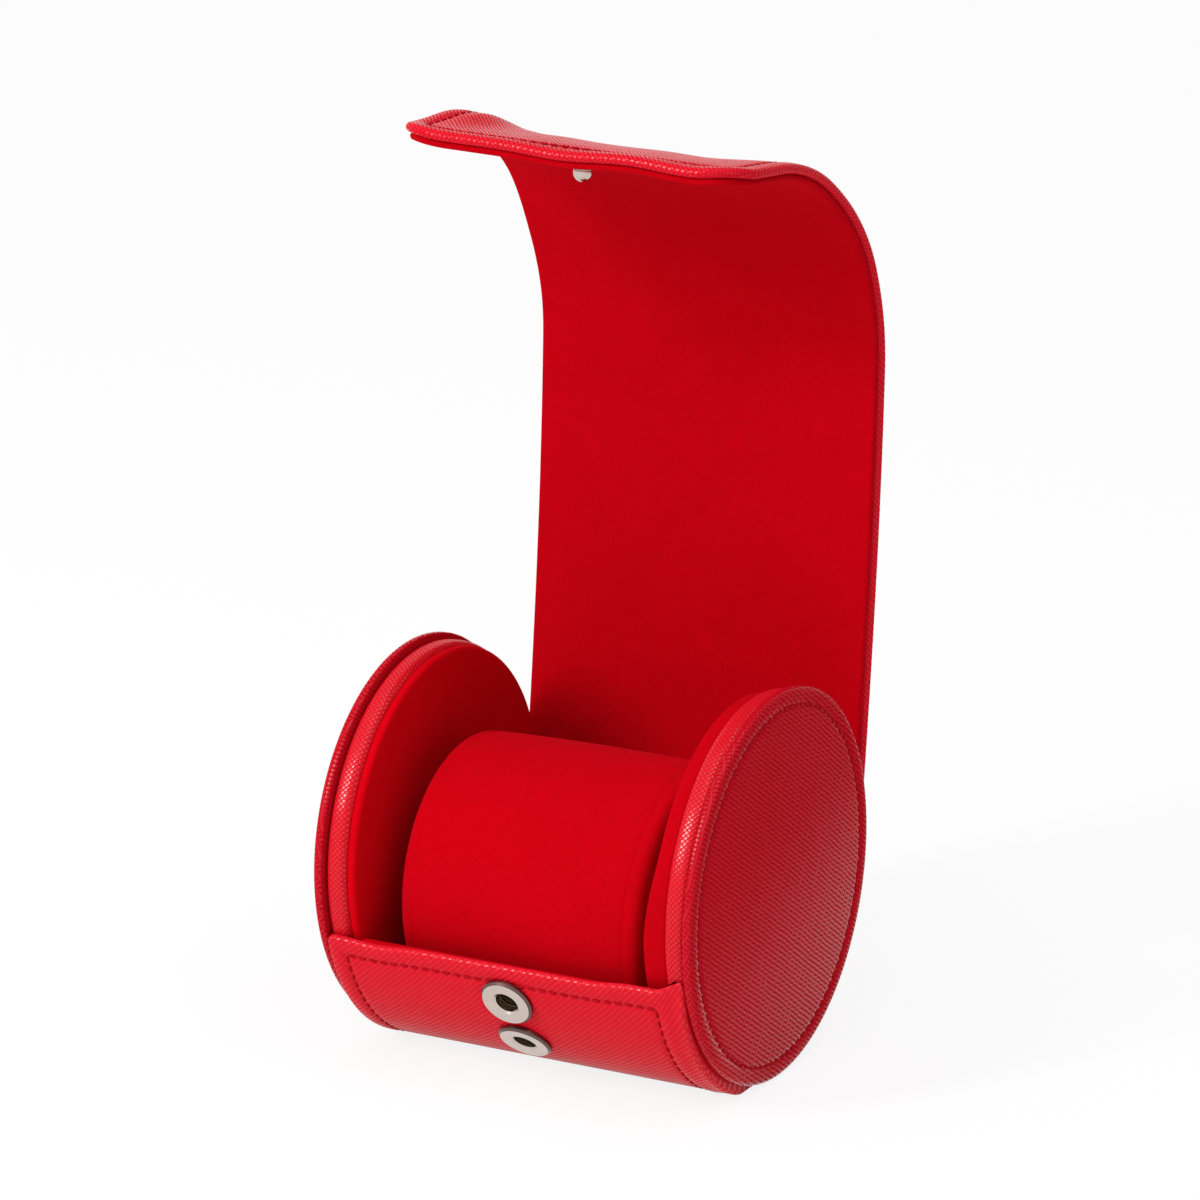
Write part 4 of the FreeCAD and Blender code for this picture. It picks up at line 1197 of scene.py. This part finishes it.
def sew_wrap():
    """One row below the wall's top edge, one down each side of the wall, and one up each side of the back."""
    inset = WALL_STITCH_INSET
    left, right = -WALL_HALF + inset, WALL_HALF - RIGHT_MARGIN - inset
    top_run = np.linspace(left, right, SEAM_STEPS)
    side_run = np.linspace(inset, WALL_SEAM_END, SEAM_STEPS)
    past_sole_middle = 20.0
    behind = WRAP_STEPS > WALL_SEAM_END + past_sole_middle
    back_start = WRAP_STEPS[behind & (WRAP_PATH[:, 1] > BACK_SEAM_HEIGHT)][0]
    back_run = np.linspace(back_start, WRAP_END, SEAM_STEPS)
    rows = [(np.full(SEAM_STEPS, inset), top_run)]
    rows += [(side_run, np.full(SEAM_STEPS, across)) for across in (right, left)]
    rows += [(back_run, np.full(SEAM_STEPS, sign * (WALL_HALF - inset))) for sign in (1, -1)]
    for order, (station, across) in enumerate(rows):
        piece = sew(f"wall_stitches_{order}", *seam_on(on_wrap, station, across, 0.0))
        dress(piece, "case", "leather")


def sew_flap():
    """A row along each side of the flap, and on round its front corners."""
    for order, (start, end, joint) in enumerate(flap_spans()):
        last = end == TIP
        run = np.linspace(start, TIP - TAB_CORNER if last else end, 120)
        half = np.array([straight_half(station) for station in run]) - STITCH_INSET
        rows = [(run, half), (run, -half)]
        if last:
            corner = np.linspace(0, math.pi / 2, 40)[1:]
            radius = TAB_CORNER - STITCH_INSET
            station = np.concatenate([run, TIP - TAB_CORNER + radius * np.sin(corner)])
            across = np.concatenate([half, FLAP_HALF - TAB_CORNER + radius * np.cos(corner)])
            rows = [(np.concatenate([station, station[::-1]]), np.concatenate([across, -across[::-1]]))]
        seams = [seam_on(on_flap, station, across, HINGE_DEPTH) for station, across in rows]
        piece = sew(f"flap_stitches_{order}", *(np.vstack(parts) for parts in zip(*seams)))
        bend_between(piece, order, joint)


def dress_metal():
    """The snaps keep their own solids, in nickel. The springs and washers in the bores and a plate at the
    bottom of each bore are dark: painted shade of the deep bores. The sides of the socket flanges get painted
    shade too.
    """
    bright = ("snap_socket_upper", "snap_socket_lower", "snap_stud")
    # The springs and washers sit deep in the bores. Their dark metal is painted shade.
    dark = ("socket_spring_upper", "socket_spring_lower", "socket_washer_upper", "socket_washer_lower")
    for name in bright + dark:
        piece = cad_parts[name]
        piece.data.materials.clear()
        piece.data.materials.append(NICKEL if name in bright else BORE_SHADE_METAL)
    for name, spot in SOCKETS.items():
        middle, out = np.array([0.0, *spot.middle]), np.array([0.0, *spot.out])
        build_socket_bore_shade(name, middle, out, spot.well)
        paint_edge_shade(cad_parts[f"snap_socket_{name}"].data, middle, out)


def paint_edge_shade(mesh, middle, out):
    """Paints shade on the side of a socket's flange: a dark nickel that stands in for the shade and dark
    reflection there.
    """
    outside, steepest = 4.5, 0.85
    # The flange sides take the dark nickel: painted shade and reflection.
    mesh.materials.append(NICKEL_EDGE_SHADE)
    for face in mesh.polygons:
        arm = np.array(face.center) / MM - middle
        radius = np.linalg.norm(arm - out * (arm @ out))
        if radius > outside and abs(np.array(face.normal) @ out) < steepest:
            face.material_index = 1


def build_socket_bore_shade(name, middle, out, well):
    """A shallow dished plate at the bottom of a socket's bore. It is dark with painted shade, which stands in
    for the bore's depth.
    """
    radius, bevel, segments = 2.28, 0.08, 40
    low, high = 0.02 - well, 0.22 - well
    outline = [(low, radius), (high - bevel, radius), (high, radius - bevel)]
    outline += [(high - 0.04, 1.3), (high - 0.1, 0.5)]
    sideways = np.array([1.0, 0.0, 0.0])
    upwards = np.cross(out, sideways)
    points, faces = [], []
    for height, ring in outline:
        for angle in np.linspace(0.0, FULL_TURN, segments, endpoint=False):
            arm = math.cos(angle) * sideways + math.sin(angle) * upwards
            points.append(middle + out * height + ring * arm)
    for start in range(0, (len(outline) - 1) * segments, segments):
        for k in range(segments):
            here, after = start + k, start + (k + 1) % segments
            faces.append((here, after, after + segments, here + segments))
    faces.append(tuple(range(segments)))
    faces.append(tuple(range((len(outline) - 1) * segments, len(outline) * segments)))
    bottom = make_object(f"socket_bore_shade_{name}", points, faces, BORE_SHADE_METAL)
    settle_normals(bottom)
    dress(bottom, "case", "nickel")


def seen_directly(finish):
    """1 for rays from the camera, from a mirror-like surface or through glass, 0 for the rest."""
    rays = [finish.node("ShaderNodeLightPath", output=name)
            for name in ("Is Camera Ray", "Is Glossy Ray", "Is Transmission Ray")]
    return rays[0].highest(rays[1]).highest(rays[2])


def build_stage():
    """A pale floor and an even world around it."""
    white = (1, 1, 1, 1)
    corners = [(x * FLOOR_HALF, y * FLOOR_HALF, 0) for x, y in ((-1, -1), (1, -1), (1, 1), (-1, 1))]
    mesh = bpy.data.meshes.new("floor")
    mesh.from_pydata(corners, [], [(0, 1, 2, 3)])
    floor = add_object("floor", mesh)
    finish = Finish("pale floor")
    paper = finish.node("ShaderNodeBsdfDiffuse", None, {"Color": (0.9, 0.9, 0.9, 1)})
    glow = finish.node("ShaderNodeEmission", None, {"Color": white, "Strength": 1.0})
    share = seen_directly(finish) * BACKGROUND_SHARE
    finish.end(finish.node("ShaderNodeMixShader", None, {0: share, 1: paper, 2: glow}))
    mesh.materials.append(finish.material)

    world = bpy.data.worlds.new("studio")
    bpy.context.scene.world = world
    sky = Finish("studio", world)
    strength = seen_directly(sky) * (1.0 - AMBIENT) + AMBIENT
    back = sky.node("ShaderNodeBackground", None, {"Color": white, "Strength": strength})
    sky.end(back, "ShaderNodeOutputWorld")


def aim(thing, direction):
    """Turns a lamp or a camera to look in a direction."""
    thing.rotation_euler = direction.to_track_quat("-Z", "Y").to_euler()


def soft_sun(name, toward, strength, spread):
    """An even soft light from far away."""
    data = bpy.data.lights.new(name, "SUN")
    data.energy = strength
    data.angle = math.radians(spread)
    aim(add_object(name, data), -Vector(toward))


def soft_light(name, place, target, size, power):
    """A soft box at a place, turned to a target."""
    data = bpy.data.lights.new(name, "AREA")
    data.shape = "RECTANGLE"
    data.size, data.size_y = size
    data.energy = power
    lamp = add_object(name, data)
    lamp.location = Vector(place)
    aim(lamp, Vector(target) - Vector(place))


def build_camera():
    azimuth, elevation = math.radians(VIEW_AZIMUTH), math.radians(VIEW_ELEVATION)
    back = Vector((math.sin(azimuth) * math.cos(elevation), -math.cos(azimuth) * math.cos(elevation),
                   math.sin(elevation)))
    data = bpy.data.cameras.new("camera")
    data.sensor_width = SENSOR
    data.lens = FOCAL_LENGTH * SENSOR / IMAGE_SIZE
    data.shift_x = (IMAGE_SIZE / 2 - IMAGE_CENTRE[0]) / IMAGE_SIZE
    data.shift_y = (IMAGE_CENTRE[1] - IMAGE_SIZE / 2) / IMAGE_SIZE
    data.clip_start, data.clip_end = 0.01, 20.0
    camera = add_object("camera", data)
    camera.location = Vector(VIEW_TARGET) + back * VIEW_DISTANCE
    aim(camera, -back)
    bpy.context.scene.camera = camera


build_wrap()
build_wrap_lining()
for side in ("left", "right"):
    build_face(side)
    build_rim(side)
    build_inner_disc(side)
build_flap()
build_cushion()
sew_faces()
sew_wrap()
sew_flap()
dress_metal()
build_stage()
soft_light("front left", place=(-0.48, -0.80, 0.66), target=(0, 0, 0.08), size=(0.14, 0.50), power=7.6)
soft_sun("overhead", toward=(0.22, -0.25, 1.0), strength=1.6, spread=70.0)
build_camera()
bpy.context.scene.view_settings.view_transform = "Standard"
